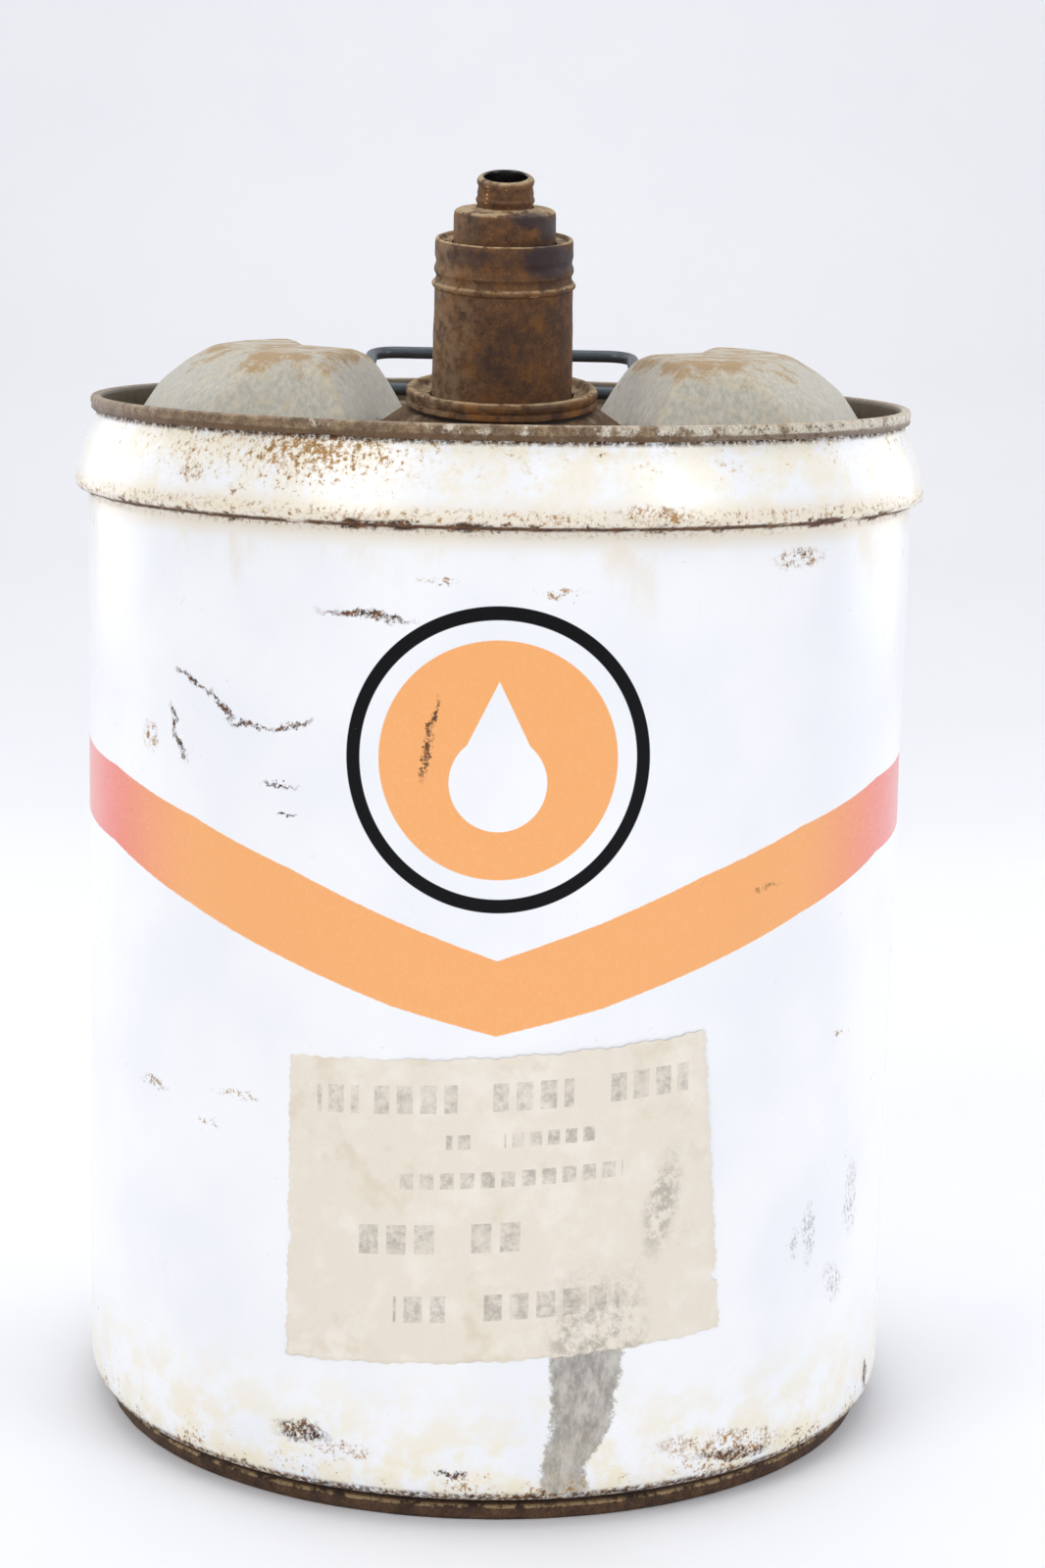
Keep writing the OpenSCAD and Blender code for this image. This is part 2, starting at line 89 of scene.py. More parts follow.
class Shader:
    """A material under construction. Coordinates are the object's own, in millimetres."""

    def __init__(self, name):
        self.mat = bpy.data.materials.new(name)
        self.mat.use_nodes = True
        self.tree = self.mat.node_tree
        self.tree.nodes.clear()
        self.bsdf = self.tree.nodes.new("ShaderNodeBsdfPrincipled")
        out = self.tree.nodes.new("ShaderNodeOutputMaterial")
        self.tree.links.new(self.bsdf.outputs[0], out.inputs[0])
        coord = self.tree.nodes.new("ShaderNodeTexCoord").outputs["Object"]
        self.p = self.node("VectorMath", {0: coord, 3: 1 / MM}, operation="SCALE")
        split = self.tree.nodes.new("ShaderNodeSeparateXYZ")
        self.tree.links.new(self.p, split.inputs[0])
        self.x, self.y, self.z = split.outputs

    def put(self, socket, value):
        if isinstance(value, bpy.types.NodeSocket):
            self.tree.links.new(value, socket)
        elif socket.type == "RGBA":
            socket.default_value = (*value[:3], 1.0)
        else:
            socket.default_value = value

    def node(self, kind, ins, out=0, **props):
        n = self.tree.nodes.new("ShaderNode" + kind)
        for key, value in props.items():
            setattr(n, key, value)
        for key, value in ins.items():
            self.put(n.inputs[key], value)
        return n.outputs[out]

    def m(self, op, a, b=0.0, c=0.0):
        return self.node("Math", {0: a, 1: b, 2: c}, operation=op)

    def mul(self, a, b):
        return self.m("MULTIPLY", a, b)

    def add(self, a, b):
        return self.m("ADD", a, b)

    def sub(self, a, b):
        return self.m("SUBTRACT", a, b)

    def affine(self, value, gain, offset):
        return self.m("MULTIPLY_ADD", value, gain, offset)

    def weigh(self, a, weight_a, b, weight_b):
        return self.add(self.mul(a, weight_a), self.mul(b, weight_b))

    def length(self, a, b):
        return self.m("SQRT", self.add(self.mul(a, a), self.mul(b, b)))

    def step(self, value, start, end):
        """0 on start's side and 1 on end's side, smooth between them."""
        zero, one = (0.0, 1.0) if start < end else (1.0, 0.0)
        return self.node("MapRange", {0: value, 1: min(start, end), 2: max(start, end), 3: zero,
                                      4: one}, interpolation_type="SMOOTHSTEP")

    def near(self, value, middle, half, soft):
        """1 where value is within half of middle, fading out over soft."""
        off = self.m("ABSOLUTE", self.sub(value, middle))
        return self.step(off, half + soft, half)

    def noise(self, scale, detail=4.0, rough=0.6, vec=None, seed=0.0):
        vec = self.p if vec is None else vec
        return self.node("TexNoise", {"Vector": vec, "W": seed, "Scale": scale, "Detail": detail,
                                      "Roughness": rough}, noise_dimensions="4D")

    def stretched(self, sx, sy, sz):
        return self.node("VectorMath", {0: self.p, 1: (sx, sy, sz)}, operation="MULTIPLY")

    def mix(self, fac, a, b):
        n = self.tree.nodes.new("ShaderNodeMix")
        n.data_type = "RGBA"
        self.put(n.inputs[0], fac)
        self.put(n.inputs[6], a)
        self.put(n.inputs[7], b)
        return n.outputs[2]

    def blend(self, fac, a, b):
        """The number between a and b; mix does the same for colours."""
        return self.node("Mix", {0: fac, 2: a, 3: b})

    def ramp(self, value, *stops):
        n = self.tree.nodes.new("ShaderNodeValToRGB")
        els = n.color_ramp.elements
        while len(els) < len(stops):
            els.new(0.5)
        for el, (pos, colour) in zip(els, stops):
            el.position = pos
            el.color = (*colour, 1.0)
        self.put(n.inputs[0], value)
        return n.outputs[0]

    def top(self, *values):
        """The largest of the values."""
        out = values[0]
        for v in values[1:]:
            out = self.m("MAXIMUM", out, v)
        return out

    def times(self, *values):
        out = values[0]
        for v in values[1:]:
            out = self.m("MULTIPLY", out, v)
        return out

    def polyline(self, u, points):
        """A height that follows straight lines through the points as u grows from 0."""
        slopes = [(b[1] - a[1]) / (b[0] - a[0]) for a, b in zip(points, points[1:])]
        total = self.affine(u, slopes[0], points[0][1])
        for k in range(1, len(slopes)):
            past = self.m("MAXIMUM", self.sub(u, points[k][0]), 0.0)
            total = self.affine(past, slopes[k] - slopes[k - 1], total)
        return total

    def finish(self, colour, rough, height=None, bump=0.3, **sockets):
        self.put(self.bsdf.inputs["Base Color"], colour)
        self.put(self.bsdf.inputs["Roughness"], rough)
        for key, value in sockets.items():
            self.put(self.bsdf.inputs[key.replace("_", " ")], value)
        if height is not None:
            normal = self.node("Bump", {"Strength": bump, "Distance": 0.001, "Height": height})
            self.put(self.bsdf.inputs["Normal"], normal)
        return self.mat


def srgb(r, g, b):
    """A colour of 0 to 255 values, in the linear values that nodes take."""
    return tuple(((c / 255 + 0.055) / 1.055) ** 2.4 if c > 10 else c / 3294 for c in (r, g, b))


# ---- mesh helpers ------------------------------------------------------------------------

def rounded(points, steps=5):
    """Turns (r, z, fillet) corners into a smooth profile of (r, z) points."""
    pts = [np.array(p[:2], float) for p in points]
    out = [pts[0]]
    for k in range(1, len(pts) - 1):
        fillet = points[k][2] if len(points[k]) > 2 else 0
        if not fillet:
            out.append(pts[k])
            continue
        a, b = pts[k - 1] - pts[k], pts[k + 1] - pts[k]
        la, lb = np.linalg.norm(a), np.linalg.norm(b)
        cut = min(fillet, la * 0.48, lb * 0.48)
        pa, pb = pts[k] + a / la * cut, pts[k] + b / lb * cut
        for t in np.linspace(0, 1, steps):
            out.append((1 - t) ** 2 * pa + 2 * t * (1 - t) * pts[k] + t ** 2 * pb)
    out.append(pts[-1])
    return np.array(out)


def finer(profile, step):
    """The profile with points added, so that none are further apart than step."""
    out = [profile[0]]
    for a, b in zip(profile, profile[1:]):
        n = max(1, int(math.ceil(np.linalg.norm(b - a) / step)))
        for t in range(1, n + 1):
            out.append(a + (b - a) * t / n)
    return np.array(out)


class Ripple:
    """A smooth random height over angle and length, the same in every run."""

    def __init__(self, seed, waves=14, turns=9, pitch=40.0):
        g = np.random.default_rng(seed)
        self.n = g.integers(1, turns + 1, waves)
        self.k = g.normal(0, 2 * np.pi / pitch, waves)
        self.f = g.uniform(0, 2 * np.pi, waves)
        self.a = g.uniform(0.4, 1.0, waves) / math.sqrt(waves)

    def __call__(self, angle, z):
        return sum(a * np.sin(n * angle + k * z + f)
                   for n, k, f, a in zip(self.n, self.k, self.f, self.a))


def smooth(obj):
    obj.data.polygons.foreach_set("use_smooth", [True] * len(obj.data.polygons))
    obj.data.update()


def grid_mesh(name, co, closed_u=True, cap_last=False):
    """A mesh from an array of rings: co[ring, step] is a point in millimetres."""
    rings, steps = co.shape[:2]
    verts = (co.reshape(-1, 3) * MM).tolist()
    faces = []
    last = steps if closed_u else steps - 1
    for i in range(rings - 1):
        low, high = i * steps, (i + 1) * steps
        for j in range(last):
            k = (j + 1) % steps
            faces.append((low + j, low + k, high + k, high + j))
    if cap_last:
        faces.append(tuple(range((rings - 1) * steps, rings * steps)))
    mesh = bpy.data.meshes.new(name)
    mesh.from_pydata(verts, [], faces)
    mesh.update()
    obj = bpy.data.objects.new(name, mesh)
    bpy.context.scene.collection.objects.link(obj)
    smooth(obj)
    return obj


def turned(name, profile, material, steps=256, matrix=None, push=None):
    """A body of revolution from an (r, z) profile; push(angle, r, z) gives (dr, dz)."""
    angle = np.linspace(0, 2 * np.pi, steps, endpoint=False)
    r = np.repeat(profile[:, 0][:, None], steps, 1)
    z = np.repeat(profile[:, 1][:, None], steps, 1)
    a = np.repeat(angle[None, :], len(profile), 0)
    if push:
        dr, dz = push(a, r, z)
        r, z = r + dr, z + dz
    co = np.stack([r * np.cos(a), r * np.sin(a), z], -1)
    if matrix is not None:
        rot, off = np.array(matrix.to_3x3()), np.array(matrix.to_translation())
        co = co @ rot.T + off
    obj = grid_mesh(name, co)
    obj.data.materials.append(material)
    return obj


def stand_for(obj, body, slot, *nodes):
    """The object takes the place of the CAD nodes and moves with the body; the slot is not used.
    """
    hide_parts(*nodes)
    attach(obj, body)
    return obj


# ---- camera, light and floor -------------------------------------------------------------

def camera():
    pitch, roll, yaw = (math.radians(a) for a in (PITCH, ROLL, YAW))
    ahead = Vector((math.sin(yaw) * math.cos(pitch), math.cos(yaw) * math.cos(pitch),
                    -math.sin(pitch)))
    right = Vector((math.cos(yaw), -math.sin(yaw), 0))
    up = right.cross(ahead)
    x_axis = right * math.cos(roll) + up * math.sin(roll)
    y_axis = up * math.cos(roll) - right * math.sin(roll)
    rot = Matrix((x_axis, y_axis, -ahead)).transposed().to_4x4()
    data = bpy.data.cameras.new("camera")
    cam = bpy.data.objects.new("camera", data)
    bpy.context.scene.collection.objects.link(cam)
    cam.matrix_world = Matrix.Translation(CAMERA_AT) @ rot
    data.sensor_width = SENSOR
    data.sensor_fit = "AUTO"
    data.lens = LENS
    data.clip_start = 0.05
    bpy.context.scene.camera = cam


def area(name, place, target, size, power, colour=(1, 1, 1)):
    data = bpy.data.lights.new(name, "AREA")
    data.shape = "RECTANGLE"
    data.size, data.size_y = size
    data.energy = power
    data.color = colour
    obj = bpy.data.objects.new(name, data)
    bpy.context.scene.collection.objects.link(obj)
    obj.location = place
    way = Vector(target) - Vector(place)
    obj.rotation_euler = way.to_track_quat("-Z", "Y").to_euler()


def stage_and_light():
    world = bpy.data.worlds.new("world")
    bpy.context.scene.world = world
    world.use_nodes = True
    back = world.node_tree.nodes["Background"]
    back.inputs[0].default_value = (0.955, 0.965, 1.0, 1)
    back.inputs[1].default_value = 0.62
    area("key", (-1.3, -1.5, 1.6), (0, 0, 0.2), (0.9, 1.3), 15, (1.0, 0.99, 0.97))
    area("fill", (1.5, -1.3, 1.1), (0, 0, 0.2), (0.8, 1.3), 10, (0.97, 0.98, 1.0))
    area("top", (0.0, 0.2, 1.9), (0, 0, 0.3), (1.4, 1.2), 9)
    for name, side in (("rim_left", -1), ("rim_right", 1)):
        area(name, (side * 1.1, 0.75, 0.7), (0, 0, 0.25), (0.9, 1.3), 4)

    floor = Shader("studio_floor")
    tint = floor.noise(0.012, 3.0)
    floor_mat = floor.finish(floor.mix(tint, (0.87, 0.88, 0.91), (0.90, 0.905, 0.925)), 0.75,
                             Specular_IOR_Level=0.2)
    # the floor runs back and then curves up, in metres
    section = [(-2.6, 0.0), (-1.2, 0.0), (0.6, 0.0), (1.1, 0.0), (1.35, 0.03), (1.6, 0.12),
               (1.8, 0.28), (1.9, 0.5), (1.94, 0.9), (1.95, 2.6)]
    rows = [[(x / MM, y / MM, z / MM) for x in (-3.2, -1, 0, 1, 3.2)] for y, z in section]
    ground = grid_mesh("studio_backdrop", np.array(rows), closed_u=False)
    ground.data.flip_normals()
    ground.data.materials.append(floor_mat)


camera()
stage_and_light()
bpy.context.scene.view_settings.view_transform = "Standard"
bpy.context.scene.view_settings.look = "None"


# ---- materials ---------------------------------------------------------------------------

RUST_DARK = srgb(62, 38, 24)
RUST = srgb(118, 76, 40)
RUST_YELLOW = srgb(172, 130, 70)
STAIN = srgb(226, 205, 160)


def can_coords(s):
    """Arc length round the can from its front, and height."""
    angle = s.m("ARCTAN2", s.x, s.mul(s.y, -1.0))
    return s.mul(angle, BODY_R), s.z


def wander(s, scale, detail, rough, seed, span):
    """A noise from -span / 2 to span / 2, which makes an edge ragged."""
    return s.affine(s.noise(scale, detail, rough, seed=seed), span, -span / 2)


def spot(s, arc, z, at, size, tilt=0.0, soft=0.35):
    """A ragged elliptical patch: at = (arc, height), size = its half width and height."""
    ca, sa = math.cos(math.radians(tilt)), math.sin(math.radians(tilt))
    u, v = s.sub(arc, at[0]), s.sub(z, at[1])
    a = s.add(s.mul(u, ca / size[0]), s.mul(v, sa / size[0]))
    b = s.sub(s.mul(v, ca / size[1]), s.mul(u, sa / size[1]))
    return s.step(s.length(a, b), 1.0 + soft, 1.0 - soft)


def spots(s, arc, z, *each):
    return s.top(*(spot(s, arc, z, *one) for one in each))


def line(s, arc, z, points, width):
    """A scratch through the points, as one long patch for each stretch."""
    out = None
    for a, b in zip(points, points[1:]):
        mid = ((a[0] + b[0]) / 2, (a[1] + b[1]) / 2)
        half = math.hypot(b[0] - a[0], b[1] - a[1]) / 2 + width
        tilt = math.degrees(math.atan2(b[1] - a[1], b[0] - a[0]))
        one = spot(s, arc, z, mid, (half, width), tilt, 0.4)
        out = one if out is None else s.m("MAXIMUM", out, one)
    return out


def body_enamel():
    s = Shader("body_enamel")
    arc, z = can_coords(s)
    fine = s.noise(0.35, 6.0, 0.7)
    mid = s.noise(0.09, 5.0, 0.65, seed=3.0)
    broad = s.noise(0.02, 3.0, 0.5, seed=5.0)
    sway = wander(s, 0.22, 4.0, 0.7, 12.0, 10.0)
    ra = s.add(arc, wander(s, 0.22, 4.0, 0.7, 9.0, 10.0))
    rz = s.add(z, sway)

    white = s.mix(s.step(broad, 0.35, 0.65), srgb(238, 240, 244), srgb(245, 246, 248))
    # yellowing by the foot, the bead and the rim
    low = s.step(z, 62.0, 10.0)
    high = s.step(z, 300.0, 345.0)
    yellow = s.times(s.top(low, s.mul(high, 0.8)), s.step(mid, 0.40, 0.62))
    white = s.mix(s.mul(yellow, 0.8), white, srgb(240, 229, 198))

    # the chevron, the same on the front and the back: u runs from its point to the side
    u = s.m("ABSOLUTE", s.sub(arc, CHEVRON_ARC))
    u = s.sub(HALF_ROUND, s.m("ABSOLUTE", s.sub(u, HALF_ROUND)))
    upper = s.polyline(u, CHEVRON_TOP)
    lower = s.polyline(u, CHEVRON_FOOT)
    zc = s.add(z, wander(s, 0.5, 4.0, 0.7, 2.0, 0.8))
    band = s.times(s.step(s.sub(upper, zc), -0.25, 0.25),
                   s.step(s.sub(zc, lower), -0.25, 0.25))
    orange = s.mix(s.step(u, 100.0, 172.0), srgb(246, 170, 98), srgb(226, 82, 70))
    grainy = s.noise(0.9, 3.0, 0.8, seed=21.0)
    orange = s.mix(s.mul(s.step(grainy, 0.45, 0.75), 0.25), orange, srgb(250, 206, 160))
    paint = s.mix(band, white, orange)

    # a plain round badge: black ring, orange disc, white oil drop
    bu, bv = s.sub(arc, BADGE_AT[0]), s.sub(z, BADGE_AT[1])
    front = s.step(s.y, 0.0, -1.0)
    d = s.length(bu, bv)
    ring = s.times(front, s.near(d, BADGE_RING_R, 2.0, 0.35))
    disc = s.times(front, s.step(d, *BADGE_DISC_EDGE))
    # the drop: a circle below the badge's middle, under a cone
    dv = s.add(bv, 7.0)
    taper = s.mul(s.m("ABSOLUTE", bu), s.step(dv, -2.0, 4.0))
    round_part = s.step(s.length(bu, dv), *DROP_EDGE)
    cone = s.times(s.step(s.add(s.mul(taper, 2.05), dv), 31.8, 31.3),
                   s.step(dv, 6.0, 6.4))
    drop = s.times(front, s.top(round_part, cone))
    paint = s.mix(disc, paint, orange)
    paint = s.mix(drop, paint, white)
    worn_black = s.mix(s.step(fine, 0.66, 0.74), srgb(14, 14, 16), srgb(105, 103, 100))
    paint = s.mix(ring, paint, worn_black)

    # fine scratches and faint grey rubs
    scratch_vec = s.stretched(0.22, 0.22, 0.9)
    scratch = s.step(s.noise(0.6, 6.0, 0.75, vec=scratch_vec, seed=31.0), 0.70, 0.76)
    paint = s.mix(s.mul(scratch, 0.25), paint, srgb(205, 203, 198))
    rub = spots(s, ra, rz, ((149, 90), (5, 12)), ((121, 84), (3, 10)), ((137, 64), (5, 8), 30),
                ((113, 82), (2, 5)))
    rub = s.times(rub, s.step(s.noise(0.8, 5.0, 0.8, vec=s.stretched(1, 1, 0.6)), 0.47, 0.6))
    paint = s.mix(s.mul(rub, 0.8), paint, srgb(150, 150, 148))

    # the grey run below the label
    depth = s.sub(RUN_TOP, z)
    edge = wander(s, 0.3, 5.0, 0.8, 41.0, 9.0)
    edge_arc, edge_z = s.add(arc, edge), s.add(z, edge)
    run = s.times(s.step(s.sub(edge_arc, s.polyline(depth, RUN_LEFT)), -0.8, 0.8),
                  s.step(s.sub(s.polyline(depth, RUN_RIGHT), edge_arc), -0.8, 0.8),
                  s.step(edge_z, 76.0, 72.0), s.step(edge_z, 9.0, 13.0))
    run_tone = s.mix(s.step(s.noise(0.25, 6.0, 0.75, vec=s.stretched(1.0, 1.0, 0.5)), 0.35, 0.65),
                     srgb(120, 112, 100), srgb(188, 182, 170))
    paint = s.mix(s.mul(run, 0.85), paint, run_tone)

    # rust: speckle fields, then the marks that stand out, and a painted shadow line under the rim
    speck = s.noise(0.55, 5.0, 0.75, seed=51.0)
    patch = s.noise(0.07, 4.0, 0.6, seed=55.0)
    foot = s.times(s.step(z, 34.0, 9.0), s.step(patch, 0.34, 0.62))
    foot_rust = s.step(s.add(speck, s.mul(foot, 0.22)), 0.71, 0.78)
    under_rim = s.times(s.step(z, 318.0, 345.0), s.top(
        spot(s, ra, rz, (-58, 337), (34, 17), 0, 0.8),
        s.mul(spot(s, ra, rz, (-96, 336), (42, 20), 0, 0.8), 0.62),
        s.mul(s.step(patch, 0.46, 0.66), 0.55)))
    rim_rust = s.step(s.add(speck, s.mul(under_rim, 0.22)), 0.66, 0.76)
    thin = s.near(s.add(z, s.mul(sway, 0.12)), CREASE_Z - 0.2, 0.35, 0.8)
    thick = s.near(s.add(z, s.mul(sway, 0.35)), CREASE_Z, 0.9, 1.2)
    breaks = s.add(patch, s.mul(speck, 0.5))
    crease = s.top(s.times(thin, s.step(breaks, 0.56, 0.68)),
                   s.times(thick, s.step(breaks, 0.76, 0.84)))
    bead_line = s.times(s.near(z, 321.8, 2.2, 3.2), s.step(speck, 0.50, 0.64))
    edge_line = s.times(s.step(z, 12.2, 10.4), s.step(speck, 0.38, 0.55))
    # a broken dark line just below the rim: painted shadow under the rim's roll, speckled like
    # rust
    rim_shadow_line = s.times(s.step(z, 344.2, 346.0), s.step(speck, 0.40, 0.55))
    flecks = s.noise(0.16, 6.0, 0.8, vec=s.stretched(0.8, 0.8, 1.3), seed=61.0)
    ends = s.top(s.step(z, 110.0, 20.0), s.step(z, 230.0, 300.0))
    free = s.step(s.add(flecks, s.mul(ends, 0.02)), 0.722, 0.745)
    marks = s.top(
        line(s, ra, rz, [(-112, 269), (-99, 265), (-88, 256), (-73, 254), (-60, 258)], 0.9),
        line(s, ra, rz, [(-116, 257), (-113, 248), (-109, 242)], 1.2),
        line(s, arc, rz, [(-75, 237.3), (-64, 237.8)], 0.6),
        line(s, arc, rz, [(-70, 228), (-64, 228.5)], 0.5),
        line(s, ra, rz, [(-53, 293), (-29, 291.6)], 1.3),
        line(s, ra, rz, [(-18, 267), (-20, 257), (-22, 244)], 0.8),
        spots(s, ra, rz, ((-60, 27), (9, 3.4)), ((172, 19), (3, 5)), ((-10, 18), (5, 1.2)),
              ((88, 16), (14, 1.6), -8)))
    marks = s.times(marks, s.step(s.noise(0.7, 5.0, 0.8, seed=71.0), 0.42, 0.52))
    pale_marks = s.top(
        line(s, ra, rz, [(-60, 132), (-37, 128)], 0.7),
        spots(s, ra, rz, ((-86, 135), (8, 1.2)), ((-97, 124), (4, 0.7)), ((-126, 131), (7, 1.4)),
              ((-46, 23), (9, 2.2)), ((84, 20), (24, 4.5), -8), ((94, 205), (6, 1.4), 10),
              ((104, 309), (11, 3.2)), ((20, 301), (7, 1.2)), ((-18, 304), (6, 1.0)),
              ((47, 325), (13, 2.2)), ((-40, 60), (5, 0.8)), ((-104, 332), (5, 3.0)),
              ((-86, 329), (4, 1.5)), ((-128, 246), (4, 5.0)), ((134, 150), (3, 1.2))))
    pale_marks = s.times(pale_marks, s.step(s.noise(0.5, 6.0, 0.8, seed=73.0), 0.48, 0.58))
    light_rust = s.top(foot_rust, rim_rust, bead_line, pale_marks, s.mul(free, 0.9))
    heavy = s.top(crease, marks, edge_line, rim_shadow_line,
                  s.times(s.top(foot_rust, rim_rust), s.step(fine, 0.56, 0.66)))
    # yellow stains round the rust, and runs of them below the crease
    low_halo = s.times(s.step(s.add(speck, s.mul(foot, 0.22)), 0.64, 0.78), low)
    high_halo = s.times(s.step(s.add(speck, s.mul(under_rim, 0.26)), 0.54, 0.74), high)
    streak = s.noise(0.045, 5.0, 0.65, vec=s.stretched(1, 1, 0.35), seed=58.0)
    runs = s.times(s.step(z, 282.0, 320.0), s.step(s.sub(CREASE_Z, z), -0.5, 0.5),
                   s.step(streak, 0.50, 0.66))
    halo = s.top(low_halo, high_halo, s.near(z, 321.0, 2.0, 8.0), s.mul(runs, 0.8))
    paint = s.mix(s.mul(halo, 0.5), paint, STAIN)
    brown = s.mix(s.step(mid, 0.42, 0.7), RUST_YELLOW, RUST)
    paint = s.mix(light_rust, paint, brown)
    dark = s.mix(s.step(fine, 0.42, 0.6), RUST_DARK, RUST)
    paint = s.mix(heavy, paint, dark)

    # rust here also takes in the painted shadow line under the rim
    rust = s.top(light_rust, heavy)
    rough = s.blend(s.top(rust, s.mul(run, 0.8)), s.blend(mid, 0.24, 0.34), 0.8)
    height = s.add(s.mul(heavy, s.affine(fine, 0.9, -0.9)),
                   s.mul(s.noise(0.02, 2.0, 0.5, vec=s.stretched(1, 1, 0.25)), 0.5))
    height = s.add(height, s.mul(s.noise(0.8, 2.0, 0.5, seed=81.0), 0.015))
    coat = s.mul(s.sub(1.0, s.top(rust, ring)), 0.55)
    shine = s.blend(ring, 0.5, 0.12)
    return s.finish(paint, rough, height, 0.5, Coat_Weight=coat, Coat_Roughness=0.22,
                    Specular_IOR_Level=shine)


def rusty_steel(name, dust=0.5, dark_side=0.0, warm=1.0):
    """Brown, grainy rust with tan dust on what lies flat, painted light and shade, and dark
    patches on the front right.
    """
    s = Shader(name)
    grain = s.noise(1.6, 8.0, 0.78)
    mott = s.noise(0.28, 6.0, 0.68, seed=4.0)
    broad = s.noise(0.07, 4.0, 0.6, seed=8.0)
    tone = s.weigh(grain, 0.6, mott, 0.4)
    colour = s.ramp(tone, (0.32, srgb(44, 30, 21)), (0.44, srgb(72, 50, 34)),
                    (0.53, srgb(100, 68, 42)), (0.61, srgb(126, 90, 57)),
                    (0.72, srgb(166, 132, 92)))
    colour = s.mix(s.mul(s.step(broad, 0.46, 0.62), 0.65), colour, srgb(60, 43, 38))
    # the left side is painted paler: painted light falling from the left
    lit_left_side = s.times(s.step(s.x, -3.0, -21.0), s.step(mott, 0.34, 0.60))
    colour = s.mix(s.mul(lit_left_side, 0.55), colour, srgb(156, 132, 104))
    ochre = s.step(s.noise(0.11, 6.0, 0.7, seed=14.0), 0.47, 0.66)
    colour = s.mix(s.mul(ochre, 0.5 * warm), colour, srgb(138, 90, 40))
    # convex edges are painted pale, partly wear and partly painted highlight; hollow corners are
    # painted dark, as painted shade
    geo = s.tree.nodes.new("ShaderNodeNewGeometry")
    edge = s.step(geo.outputs["Pointiness"], 0.506, 0.540)
    hollow_shade = s.step(geo.outputs["Pointiness"], 0.494, 0.460)
    edge = s.times(edge, s.step(mott, 0.34, 0.54))
    colour = s.mix(s.mul(edge, 0.8), colour, srgb(190, 150, 104))
    # painted shade in hollow corners and creases
    colour = s.mix(s.mul(hollow_shade, 0.7), colour, srgb(42, 28, 20))
    up = s.node("SeparateXYZ", {0: geo.outputs["Normal"]}, out=2)
    lying = s.times(s.step(up, 0.35, 0.8), s.step(mott, 0.36, 0.56))
    colour = s.mix(s.mul(lying, dust), colour, srgb(196, 172, 134))
    rough = s.blend(grain, 0.62, 0.9)
    if dark_side:
        # dark patches on the tube's front right
        rag = wander(s, 0.45, 6.0, 0.75, 24.0, 9.0)
        rx, rz = s.add(s.x, rag), s.sub(s.z, rag)
        dark_patch = s.top(spots(s, rx, rz, ((8.0, 412.0), (6.0, 2.6)), ((13.5, 409.5), (3.2, 4.2)),
                           ((14.0, 399.5), (9.0, 5.6))),
                     s.mul(spot(s, rx, rz, (-12.0, 400.5), (7.0, 2.6)), 0.5))
        black = s.times(dark_patch, s.step(s.y, -58.0, -72.0), s.step(grain, 0.30, 0.42))
        colour = s.mix(s.mul(black, dark_side), colour, srgb(46, 32, 36))
        rough = s.blend(black, rough, 0.55)
    height = s.weigh(grain, 0.45, mott, 0.45)
    return s.finish(colour, rough, height, 0.6, Specular_IOR_Level=0.3)


